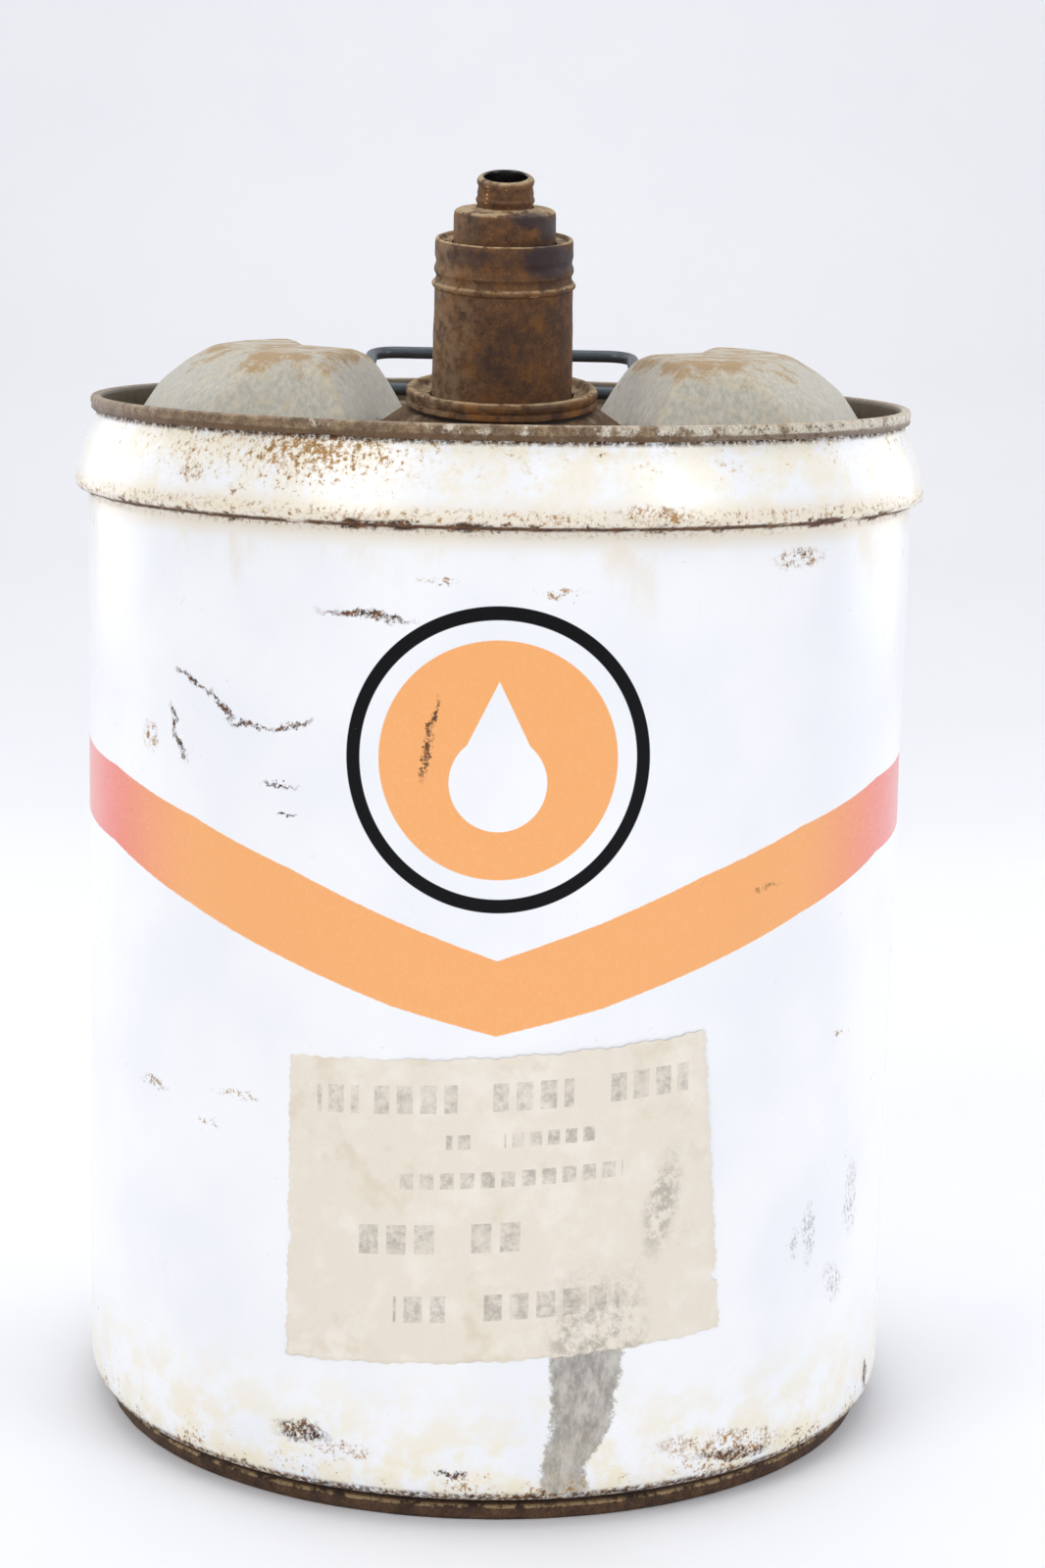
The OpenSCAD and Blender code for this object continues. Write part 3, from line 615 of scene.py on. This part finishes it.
def head_paint():
    s = Shader("head_enamel")
    grain = s.noise(1.4, 8.0, 0.75)
    mott = s.noise(0.22, 6.0, 0.7, seed=4.0)
    broad = s.noise(0.045, 4.0, 0.6, seed=8.0)
    rho = s.length(s.x, s.y)
    brushed = s.noise(0.5, 4.0, 0.6, vec=s.stretched(1.3, 1.3, 0.4), seed=6.0)
    grey = s.mix(s.step(brushed, 0.35, 0.68), srgb(166, 163, 151), srgb(190, 186, 173))
    grey = s.mix(s.mul(s.step(mott, 0.45, 0.7), 0.6), grey, srgb(203, 190, 162))
    # the humps: their own "wear" value is high on the edges and the tops
    wear = s.node("Attribute", {}, out=2, attribute_name="wear")
    patchy = s.noise(0.10, 6.0, 0.72, seed=12.0)
    high = s.step(s.z, 356.0, 367.0)
    rubbed = s.times(s.step(s.add(wear, high), 0.4, 1.6), s.step(patchy, 0.36, 0.62))
    grey = s.mix(s.mul(rubbed, 0.75), grey, srgb(203, 188, 160))
    tan = s.mix(grain, srgb(128, 94, 56), srgb(180, 148, 104))
    exposed = s.affine(high, 0.9, s.mul(wear, high))
    crest = s.step(s.affine(exposed, 0.09, s.weigh(patchy, 0.7, grain, 0.25)), 0.535, 0.65)
    colour = s.mix(s.mul(crest, 0.75), grey, tan)
    blot = s.step(s.weigh(mott, 0.6, broad, 0.5), 0.62, 0.70)
    colour = s.mix(s.mul(blot, 0.45), colour, srgb(190, 160, 118))
    flecks = s.step(s.noise(0.26, 7.0, 0.78, vec=s.stretched(1, 1, 0.55), seed=17.0), 0.64, 0.70)
    colour = s.mix(flecks, colour, s.mix(grain, srgb(84, 58, 36), srgb(130, 92, 52)))
    # the low parts of the panel are rusty, and so is the boss under the spout
    low = s.step(s.add(s.z, s.affine(mott, 5.0, -2.5)), 348.0, 344.0)
    from_spout = s.length(s.x, s.sub(s.y, SPOUT_Y + 1))
    boss = s.step(s.add(from_spout, s.affine(mott, 4.0, -2.0)), 43.5, 40.5)
    brown = s.ramp(s.weigh(grain, 0.5, mott, 0.5),
                   (0.34, srgb(44, 30, 20)), (0.5, srgb(86, 62, 42)), (0.64, srgb(140, 110, 76)))
    left_paint = s.step(s.weigh(broad, 0.7, mott, 0.4), 0.56, 0.64)
    brown = s.mix(s.mul(left_paint, 0.55), brown, srgb(138, 130, 112))
    rusty = s.top(boss, low)
    colour = s.mix(rusty, colour, brown)
    # the gutter and the rim's inner wall are painted dark olive grey: painted shade in the
    # recess.
    # The rim's outer face is brown, and worn bright at the right and front
    wall_shade = s.times(s.step(rho, 131.5, 133.5), s.step(rho, 137.2, 136.6))
    colour = s.mix(wall_shade, colour, s.mix(mott, srgb(58, 52, 42), srgb(112, 98, 74)))
    outer = s.step(rho, 136.6, 137.2)
    uneven = s.sub(s.noise(0.12, 6.0, 0.72, seed=36.0), 0.5)
    side = s.weigh(s.x, 0.0032, uneven, 2.6)
    right = s.times(s.step(side, 0.02, 0.30), s.step(s.y, 20.0, -20.0))
    brown_rim = s.ramp(s.weigh(grain, 0.5, mott, 0.5),
                       (0.34, srgb(58, 42, 28)), (0.46, srgb(100, 78, 56)),
                       (0.55, srgb(140, 116, 86)), (0.70, srgb(186, 168, 140)))
    silver = s.mix(s.step(grain, 0.4, 0.62), srgb(176, 166, 144), srgb(224, 218, 204))
    chips = s.step(s.noise(0.34, 6.0, 0.8, seed=33.0), 0.54, 0.60)
    silver = s.mix(chips, silver, srgb(88, 62, 38))
    rim = s.mix(right, brown_rim, silver)
    # the rim's face below its roll is painted dark brown: painted shadow under the roll
    under = s.step(s.add(s.z, s.affine(mott, 1.2, -0.6)), 348.6, 347.8)
    roll_shadow_brown = s.mix(grain, srgb(54, 36, 22), srgb(112, 80, 46))
    rim = s.mix(s.mul(under, 0.8), rim, roll_shadow_brown)
    lip = s.times(s.step(s.z, 350.4, 351.0), s.step(mott, 0.35, 0.6))
    rim = s.mix(s.mul(lip, 0.5), rim, srgb(176, 152, 124))
    colour = s.mix(outer, colour, rim)
    rough = s.blend(s.top(rusty, flecks, crest), 0.42, 0.82)
    height = s.weigh(grain, 0.18, mott, 0.5)
    height = s.sub(height, s.mul(flecks, 0.3))
    return s.finish(colour, rough, height, 0.45, Specular_IOR_Level=0.4)


def chime_steel():
    s = Shader("chime_steel")
    grain = s.noise(1.3, 8.0, 0.75)
    mott = s.noise(0.2, 6.0, 0.7, seed=4.0)
    tone = s.weigh(grain, 0.5, mott, 0.5)
    colour = s.ramp(tone, (0.34, srgb(34, 24, 18)), (0.47, srgb(66, 46, 32)),
                    (0.56, srgb(96, 68, 46)), (0.70, srgb(132, 100, 70)))
    # a pale line along the top of the chime ring: painted highlight
    ring_highlight = s.times(s.near(s.add(s.z, s.affine(mott, 2.0, -1.0)), 4.7, 0.25, 0.5),
                    s.step(mott, 0.42, 0.56))
    colour = s.mix(s.mul(ring_highlight, 0.8), colour, srgb(186, 158, 116))
    # the groove above the chime ring is painted near black: painted shade
    groove_shade = s.step(s.z, 5.4, 6.2)
    colour = s.mix(groove_shade, colour, srgb(24, 17, 12))
    height = s.weigh(grain, 0.3, mott, 0.6)
    return s.finish(colour, s.blend(grain, 0.5, 0.85), height, 0.6, Specular_IOR_Level=0.35)


def label_paper():
    s = Shader("label_paper")
    arc, z = can_coords(s)
    lu = s.sub(arc, LABEL_MIDDLE[0])
    lv = s.sub(s.sub(z, LABEL_MIDDLE[1]), s.mul(lu, LABEL_SLOPE))
    fibre = s.noise(1.5, 5.0, 0.7, vec=s.stretched(1, 1, 0.6))
    mott = s.noise(0.10, 5.0, 0.6, seed=4.0)
    paper = s.mix(fibre, srgb(224, 214, 198), srgb(237, 229, 215))
    paper = s.mix(s.mul(s.step(mott, 0.45, 0.7), 0.6), paper, srgb(241, 235, 224))
    stain = s.step(s.noise(0.06, 5.0, 0.6, seed=9.0), 0.54, 0.68)
    paper = s.mix(s.mul(stain, 0.35), paper, srgb(208, 190, 160))
    # faded stencil marks: plain dashes of even width, with no letters in them
    ink = None
    # height of the row's middle, half its height, pitch of the dashes, left and right end
    rows = [(36.5, 4.4, 7.5, -60, 60), (22.5, 2.2, 5.6, -30, 30), (10.0, 2.4, 6.4, -34, 38),
            (-9.0, 4.6, 9.0, -48, 54), (-32.0, 4.2, 8.4, -34, 40)]
    for k, (at, half, pitch, low, high) in enumerate(rows):
        inside = s.times(s.near(lv, at, half, 0.35),
                         s.near(lu, (low + high) / 2, (high - low) / 2, 0.3))
        cell = s.m("PINGPONG", s.add(lu, 200.0), pitch / 2)
        dash = s.step(cell, pitch * 0.13, pitch * 0.13 + 0.4)
        gaps = s.noise(0.055, 0.0, 0.5, vec=s.node("CombineXYZ", {0: lu, 1: float(40 * k)}))
        word = s.step(gaps, 0.40, 0.41)
        fade = s.blend(s.step(s.noise(0.14, 4.0, 0.7, seed=60.0 + k), 0.34, 0.62), 0.25, 1.0)
        one = s.times(inside, dash, word, fade)
        ink = one if ink is None else s.m("MAXIMUM", ink, one)
    worn = s.blend(s.step(s.noise(0.45, 4.0, 0.7, seed=88.0), 0.38, 0.60), 0.35, 1.0)
    paper = s.mix(s.mul(s.times(ink, worn), 0.5), paper, srgb(112, 110, 104))
    grime = s.times(s.near(lu, 31.0, 10.0, 10.0), s.step(lv, -14.0, -48.0),
                    s.step(s.noise(0.22, 6.0, 0.75, seed=91.0), 0.42, 0.62))
    smear = s.times(spot(s, arc, z, (57, 106), (5, 15), -12, 0.6),
                    s.step(s.noise(0.3, 6.0, 0.8, seed=92.0), 0.42, 0.6))
    paper = s.mix(s.mul(s.top(grime, smear), 0.6), paper, srgb(140, 133, 120))
    rust = s.step(s.noise(0.4, 6.0, 0.8, seed=95.0), 0.71, 0.74)
    paper = s.mix(s.mul(rust, 0.7), paper, srgb(160, 124, 78))
    return s.finish(paper, 0.8, s.mul(fibre, 0.12), 0.5, Specular_IOR_Level=0.25)


def wire_steel():
    s = Shader("wire_steel")
    along = s.noise(0.8, 5.0, 0.7, vec=s.stretched(0.3, 1, 1))
    fine = s.noise(2.5, 4.0, 0.7, seed=3.0)
    colour = s.mix(along, srgb(52, 57, 62), srgb(96, 104, 110))
    rust = s.step(s.noise(0.25, 6.0, 0.8, seed=7.0), 0.60, 0.68)
    colour = s.mix(s.mul(rust, 0.6), colour, srgb(96, 66, 42))
    return s.finish(colour, s.blend(fine, 0.32, 0.5), s.mul(along, 0.3), 0.4,
                    Metallic=0.6)


def rubber():
    s = Shader("seal_rubber")
    grit = s.noise(1.8, 5.0, 0.7)
    colour = s.mix(grit, srgb(20, 20, 21), srgb(44, 42, 40))
    return s.finish(colour, s.blend(grit, 0.6, 0.85), s.mul(grit, 0.2), 0.4)


def compound():
    s = Shader("seam_compound")
    grit = s.noise(0.8, 5.0, 0.7)
    colour = s.mix(grit, srgb(150, 140, 112), srgb(186, 176, 146))
    return s.finish(colour, 0.85, s.mul(grit, 0.3), 0.4)


def mouth_black():
    s = Shader("mouth_black")
    grit = s.noise(1.2, 5.0, 0.7)
    colour = s.mix(s.step(grit, 0.5, 0.7), srgb(14, 11, 10), srgb(44, 30, 22))
    return s.finish(colour, s.blend(grit, 0.12, 0.3), s.mul(grit, 0.2), 0.3)


ENAMEL = body_enamel()
HEAD = head_paint()
CHIME = chime_steel()
COLLAR = rusty_steel("collar_rust", dust=0.55, warm=1.6)
TUBE = rusty_steel("tube_rust", dust=0.7, dark_side=0.9)
PAPER = label_paper()
WIRE = wire_steel()
RUBBER = rubber()
COMPOUND = compound()
MOUTH = mouth_black()


# ---- body --------------------------------------------------------------------------------

def make_body():
    profile = finer(rounded([
        (131.0, 8.6), (132.2, 7.6, 0.6), (135.5, 7.4, 1.0), (139.4, 9.4, 2.2), (141.0, 14.5, 4.0),
        (141.0, 317.8, 2.0), (141.4, 319.6, 0.5), (144.9, 321.0, 0.9), (145.55, 323.0, 1.2),
        (144.6, 326.5, 3.0), (141.6, 337.5, 5.0), (138.3, 344.6, 2.0), (137.9, 347.4)], 7), 2.6)
    low = Ripple(11, turns=5, pitch=260)
    fine = Ripple(12, turns=24, pitch=60)
    # angle from the front, height, half width, half height, depth
    dents = [(-0.95, 210, 22, 26, 0.7), (0.8, 120, 26, 40, 0.6), (0.25, 300, 18, 12, 0.35),
             (2.4, 190, 30, 34, 0.9), (-2.2, 90, 26, 22, 0.8), (3.0, 280, 24, 20, 0.6),
             (-0.45, 46, 14, 10, 0.35), (1.6, 250, 26, 30, 0.6)]

    def push(a, r, z):
        front = np.arctan2(np.cos(a), -np.sin(a))
        plain = np.clip((z - 14) / 12, 0, 1) * np.clip((318 - z) / 12, 0, 1)
        dr = (low(a, z) * 0.28 + fine(a, z) * 0.05) * plain
        for at, height, wa, wz, deep in dents:
            turn = (front - at + np.pi) % (2 * np.pi) - np.pi
            dr -= deep * plain * np.exp(-(turn * BODY_R / wa) ** 2 - ((z - height) / wz) ** 2)
        bead = np.exp(-((z - BEAD_Z) / 6.0) ** 2)
        return dr, bead * 0.25 * fine(a, 0.0)

    shell = turned("body_shell_skin", profile, ENAMEL, 512, push=push)
    # the welded side seam is a low ridge up the back
    half_width = 3.5
    seam_z = np.linspace(15.5, 317.0, 80)
    across = np.linspace(-1, 1, 9)
    co = np.zeros((len(seam_z), len(across), 3))
    for i, z in enumerate(seam_z):
        for j, t in enumerate(across):
            lift = 0.36 * (1 - t ** 4) + 0.05 * math.sin(z * 0.9 + 3 * t)
            ang = math.pi / 2 + t * half_width / BODY_R
            rr = BODY_R + lift - (0.5 if abs(t) == 1 else 0)  # its edges sink into the body
            co[i, j] = (rr * math.cos(ang), rr * math.sin(ang), z)
    seam = grid_mesh("side_seam_ridge", co, closed_u=False)
    seam.data.flip_normals()
    seam.data.materials.append(ENAMEL)
    stand_for(shell, "can", "white_enamel", "body_shell")
    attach(seam, "can")


# ---- top head ----------------------------------------------------------------------------

def smin(a, b, k):
    """The smaller of the two, with the corner between them rounded over k."""
    h = np.clip(0.5 + 0.5 * (b - a) / k, 0, 1)
    return b * (1 - h) + a * h - k * h * (1 - h)


def smax(a, b, k):
    return -smin(-a, -b, k)


def softened(raw, width):
    """The curve with its corners rounded by a moving average."""
    kernel = np.hanning(width)
    half = width // 2
    return np.convolve(np.pad(raw, half, mode="edge"), kernel / kernel.sum(), "valid")


FALL_AT = np.arange(70, 140, 0.25)
FALL = softened(np.interp(FALL_AT, [84, 92, 99, 108, 116.2, 121.5, 124.8, 140],
                          [26.6, 26.1, 24.8, 19.7, 13.2, 5.4, 0.0, -26]), 25)
RISE_AT = np.arange(-20, 60, 0.25)
RISE = softened(np.interp(RISE_AT, [-20, 0, 3.3, 7.7, 11.5, 14.8, 19.8, 60],
                          [-38, 0, 6.6, 14.4, 20.2, 23.9, 26.4, 30]), 15)


def outer_fall(rho):
    """Height of a hump's outer side by distance from the can's axis."""
    return np.interp(rho, FALL_AT, FALL)


def rise(d):
    """Height of a hump's other sides by distance in from their foot."""
    return np.interp(d, RISE_AT, RISE)


def hump_height(x, y):
    """The two humps mirror each other. Each is the lowest of its sides and its crowned top."""
    x = np.abs(x)
    rho = np.hypot(x, y) - 3.0 * np.clip(np.abs(y) / 62, 0, 1) ** 2
    waist = np.interp(y, [-22, 5, 70, 90], [30.0, 51.6, 60.3, 66.5])
    inner = rise(x - waist)
    spout_side = rise(((x - 47.0) * 64 + (y + 86) * 17.5) / 66.4)
    front = rise((y + 87) / 1.08)
    back = rise((88 - y + 0.06 * (x - 70)) / 1.1)
    back_corner = rise(((x - 60) * 18 - (y - 70) * 6) / 19)
    h = smin(outer_fall(rho), HUMP_H + 0.9 - 0.0006 * (x - 72) ** 2, 1.2)
    for side in (front, inner, spout_side, back, back_corner):
        h = smin(h, side, 2.2)
    return np.minimum(h, HUMP_H)


def boss_height(x, y):
    """The flared boss that carries the collar, leaning with the spout."""
    seat = SEAT_Z - PANEL_Z + (y - SPOUT_Y) * math.tan(LEAN)
    d = np.hypot(x, (y - SPOUT_Y) / math.cos(LEAN))
    cone = seat - (d - 30.6) / 1.4
    return smin(seat - 0.05, cone, 1.5)


def make_head():
    steps = 900
    inner_r = 0.6
    probe = 2.5
    angle = np.linspace(0, 2 * np.pi, steps, endpoint=False)
    rim = finer(rounded([
        (137.9, 346.9), (138.4, 346.35, 0.3), (139.6, 346.4, 0.5), (139.9, 347.2, 0.4),
        (139.7, 348.2, 0.4), (140.1, 348.9, 0.5), (140.0, 350.5, 0.8), (139.2, 351.3, 0.7),
        (137.2, 351.3, 0.7), (136.2, 350.3, 0.9),
        (136.2, 342.6, 1.2), (135.0, 341.2, 1.2), (132.4, 341.2, 1.2), (130.2, 343.0, 1.0),
        (129.2, 343.0)], 5), 1.6)
    rings = list(rim) + [(r, PANEL_Z) for r in np.linspace(129.2, inner_r, 118)[1:]]
    wave = Ripple(21, turns=30, pitch=40)
    wide = Ripple(22, turns=7, pitch=200)
    co = np.zeros((len(rings), steps, 3))
    wear = np.zeros((len(rings), steps))
    for i, (r, z) in enumerate(rings):
        x, y = r * np.cos(angle), r * np.sin(angle)
        if z < PANEL_Z + 0.5 and r < PANEL_R + 0.8:
            hump = hump_height(x, y)
            h = smax(smax(hump, boss_height(x, y), 3.0), np.zeros(steps), 2.5)
            h = h + 0.10 * wide(angle, r) * np.clip((125 - r) / 20, 0, 1)
            fade = np.clip((130.4 - r) / 3.0, 0, 1)
            co[i] = np.stack([x, y, PANEL_Z + h * fade], -1)
            # the hump's edges bend down all round, so they wear first
            around = sum(hump_height(x + dx * probe, y + dy * probe)
                         for dx, dy in ((1, 0), (-1, 0), (0, 1), (0, -1)))
            bend = np.clip(-(around - 4 * hump) / probe ** 2 * 2.6, 0, 1)
            wear[i] = np.clip(bend + 0.35 * np.clip((hump - 20) / 5, 0, 1), 0, 1)
        else:
            swell = 0.10 * wave(angle, z) if z > 345 else 0
            low_edge = 0.25 * wave(angle, 5.0) * np.clip((347.6 - z) / 1.0, 0, 1) * (r > 137)
            rr = np.minimum(r + swell, RIM_R)
            co[i] = np.stack([rr * np.cos(angle), rr * np.sin(angle),
                              np.minimum(z + low_edge, RIM_Z)], -1)
    head = grid_mesh("head_pressing", co, cap_last=True)
    head.data.materials.append(HEAD)
    attr = head.data.attributes.new("wear", "FLOAT", "POINT")
    attr.data.foreach_set("value", wear.reshape(-1))
    # the hole in the boss that the collar is clinched into
    to_spout = SPOUT.inverted()
    bm = bmesh.new()
    bm.from_mesh(head.data)
    hole = [f for f in bm.faces
            if (to_spout @ (f.calc_center_median() / MM)).xy.length < NECK_HOLE_R]
    bmesh.ops.delete(bm, geom=hole, context="FACES")
    bm.to_mesh(head.data)
    bm.free()
    stand_for(head, "can", "grey_enamel", "top_head")


# ---- bottom ------------------------------------------------------------------------------

def make_bottom():
    wave = Ripple(31, turns=34, pitch=30)
    profile = finer(rounded([
        (132.2, 8.2), (132.6, 6.4, 0.4), (133.4, 5.3, 0.4), (134.1, 4.6, 0.5), (134.4, 3.2, 0.8),
        (134.3, 0.9, 0.8), (133.4, 0.0, 0.7), (131.6, 0.0, 0.7), (130.6, 0.8, 0.7),
        (130.5, 7.6, 1.2), (129.5, 8.8, 1.0), (126.5, 8.8, 1.0), (124.5, 7.0, 1.2),
        (95.6, 7.0, 2.0), (92.6, 8.5, 1.5), (86.6, 8.5, 1.5), (83.6, 7.0, 2.0),
        (1.0, 7.0)], 5), 3.5)

    def push(a, r, z):
        rough = np.clip((r - 130) / 3, 0, 1)
        dr = -np.abs(0.16 * wave(a, z)) * rough
        dz = np.where((z > 2) & (r > 132.5), 0.22 * wave(a, 4.0), 0)
        return dr, dz + 0.10 * wave(a, r) * (r < 120)

    bottom = turned("bottom_pressing", profile, CHIME, 512, push=push)
    stand_for(bottom, "can", "rusted_steel", "bottom_head")


# ---- label -------------------------------------------------------------------------------

def make_label():
    """A paper sheet glued on a little askew, with a torn corner and nicked sides."""
    wave = Ripple(41, turns=5, pitch=30)
    nu, nv = 201, 141
    u, v = np.meshgrid(np.linspace(0, 1, nu), np.linspace(0, 1, nv))
    left = np.array(LABEL_TOP_LEFT) + v[..., None] * np.array(LABEL_LEFT_EDGE)
    right = np.array(LABEL_TOP_RIGHT) + v[..., None] * np.array(LABEL_RIGHT_EDGE)
    sheet = left + u[..., None] * (right - left)
    side = np.where((u == 0) | (u == 1), 1.0, 0.0)
    ends = np.where((v == 0) | (v == 1), 1.0, 0.0)
    arc = sheet[..., 0] + side * (0.35 * np.sin(v * 61) + 0.3 * np.sin(v * 213 + 1))
    height = sheet[..., 1] + ends * (0.3 * np.sin(u * 47) + 0.25 * np.sin(u * 171 + 2))
    height = height - 0.8 * np.sin(np.pi * u) * (1 - v)
    edge = np.minimum(np.minimum(u, 1 - u) * LABEL_W, np.minimum(v, 1 - v) * LABEL_H)
    curl = 0.5 + 0.5 * np.sin(arc * 0.21 + height * 0.17)
    lift = 0.32 + 0.10 * wave(arc * 0.03, height) + 0.25 * np.exp(-edge / 2.0) * curl
    lift = np.where(edge < 0.01, 0.05, lift)
    r = BODY_R + 0.05 + lift
    turn = arc / BODY_R
    co = np.stack([r * np.sin(turn), -r * np.cos(turn), height], -1)
    label = grid_mesh("label_sheet", co, closed_u=False)
    bm = bmesh.new()
    bm.from_mesh(label.data)
    torn = []
    for f in bm.faces:
        c = f.calc_center_median() / MM
        ca = math.atan2(c.x, -c.y) * BODY_R
        notch = math.hypot((ca - 81.0) / 5.0, (c.z - 79.5) / (2.6 + 0.5 * math.sin(ca)))
        nick = math.hypot((ca + 66.5) / 2.2, (c.z - 92.0) / 5.0)
        if notch < 1 or nick < 1:
            torn.append(f)
    bmesh.ops.delete(bm, geom=torn, context="FACES")
    bm.normal_update()
    bm.to_mesh(label.data)
    bm.free()
    smooth(label)
    label.data.materials.append(PAPER)
    stand_for(label, "can", "label_paper", "paper_label")


# ---- spout -------------------------------------------------------------------------------

def worn_mouth(a, r, z):
    """The nozzle's lip is worn and bent down towards the front."""
    return 0.0, -1.35 * np.clip((z - 66) / 9, 0, 1) * (1 - r * np.sin(a) / 8.7)


def spout_part(name, profile, material, body, node, seed, rough=0.06, step=0.9, more=None):
    """A turned piece on the spout's leaning axis, with a slightly uneven surface."""
    ripple = Ripple(seed, turns=16, pitch=9)
    slow = Ripple(seed + 1, turns=3, pitch=50)

    def push(a, r, z):
        dr, dz = more(a, r, z) if more else (0, 0)
        return (dr + rough * ripple(a, z) + 0.12 * slow(a, z),
                dz + 0.6 * rough * ripple(a, z + 40))

    obj = turned(name, finer(rounded(profile, 6), step), material, 224, SPOUT, push)
    stand_for(obj, body, "rusted_steel", node)


def make_spout():
    spout_part("collar_ring", [
        (24.4, -4.9), (26.2, -4.9), (26.2, -1.2), (25.3, -0.9), (25.3, 0.95), (30.0, 0.95, 0.4),
        (30.8, 1.6, 0.5), (30.7, 2.6, 0.5), (30.2, 3.4, 0.5), (30.8, 4.3, 0.6), (30.85, 5.8, 1.0),
        (30.0, 6.8, 0.9), (28.6, 6.85, 0.9), (27.7, 5.9, 0.9), (26.6, 4.6, 0.8), (24.6, 4.3, 0.6),
        (23.1, 4.3, 0.2), (23.05, 3.1), (24.4, 3.0)],
        COLLAR, "can", "spout_collar", 51)
    spout_part("outer_tube_skin", [
        (21.9, -6.4), (24.1, -6.4, 0.2), (24.1, -5.4, 0.2), (22.6, -5.3, 0.3), (22.55, 8.0, 2.0),
        (22.0, 37.9, 0.8), (21.95, 38.7, 0.4), (22.75, 39.2, 0.5), (22.85, 40.2, 0.6),
        (21.9, 41.0, 0.5), (21.45, 42.2, 0.5), (21.5, 43.0, 0.4), (22.2, 44.1, 0.6),
        (22.05, 45.4, 0.6), (21.5, 46.5, 0.6), (21.6, 47.6, 0.5), (22.0, 48.8, 0.8),
        (22.0, 52.8, 1.0),
        (21.75, 54.3, 0.8), (20.9, 54.6, 0.5), (20.4, 54.0, 0.6), (19.8, 53.1, 0.6),
        (16.75, 53.0, 0.2), (16.7, 52.3), (21.0, 52.2), (21.3, 8.0), (21.9, -6.0)],
        TUBE, "outer_stage", "outer_tube", 61)
    spout_part("mid_tube_skin", [
        (15.6, 18.1), (20.6, 18.1, 0.2), (20.6, 18.9, 0.2), (16.2, 19.0, 0.3), (16.25, 50.0, 1.0),
        (16.2, 61.4, 1.0), (15.9, 62.9, 0.9), (14.9, 63.45, 0.9), (12.0, 63.7, 1.0),
        (9.05, 64.3, 0.2), (9.05, 63.5), (14.7, 62.7), (15.5, 61.9), (15.55, 18.2)],
        TUBE, "mid_stage", "mid_tube", 71)
    spout_part("nozzle_skin", [
        (6.9, 27.6), (15.1, 27.6, 0.2), (15.1, 28.4, 0.2), (8.65, 28.5, 0.3), (8.65, 63.6, 0.8),
        (8.75, 65.0, 0.6), (9.3, 66.0, 0.6), (9.3, 66.9, 0.6), (8.8, 67.9, 0.6),
        (8.95, 69.2, 0.8), (8.65, 70.8, 0.8), (8.6, 71.8, 0.5), (9.05, 72.7, 0.6),
        (9.0, 74.0, 0.7), (8.2, 74.9, 0.6), (7.3, 75.05)],
        TUBE, "nozzle_stage", "nozzle_tube", 81, 0.05, 0.6, worn_mouth)
    lip = turned("nozzle_lip", finer(rounded([
        (7.32, 75.04), (7.05, 75.1, 0.3), (6.82, 74.7, 0.4), (6.82, 71.0, 1.0),
        (6.85, 27.6)], 6), 0.6), MOUTH, 160, SPOUT, worn_mouth)
    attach(lip, "nozzle_stage")


make_body()
make_head()
make_bottom()
make_label()
make_spout()

# ---- CAD pieces that are shown as they are -----------------------------------------------

KEEP = {
    "handle_loop": WIRE, "saddle_clips": HEAD, "top_seam_compound": COMPOUND,
    "bottom_seam_compound": COMPOUND, "spout_gasket": RUBBER, "collar_seal": RUBBER,
    "collar_retainer": WIRE, "mid_seal": RUBBER, "mid_seal_washer": WIRE,
    "nozzle_seal": RUBBER, "nozzle_seal_washer": WIRE,
}
for name, material in KEEP.items():
    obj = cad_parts[name]
    obj.data.materials.clear()
    obj.data.materials.append(material)
    for slot in obj.material_slots:
        slot.material = material
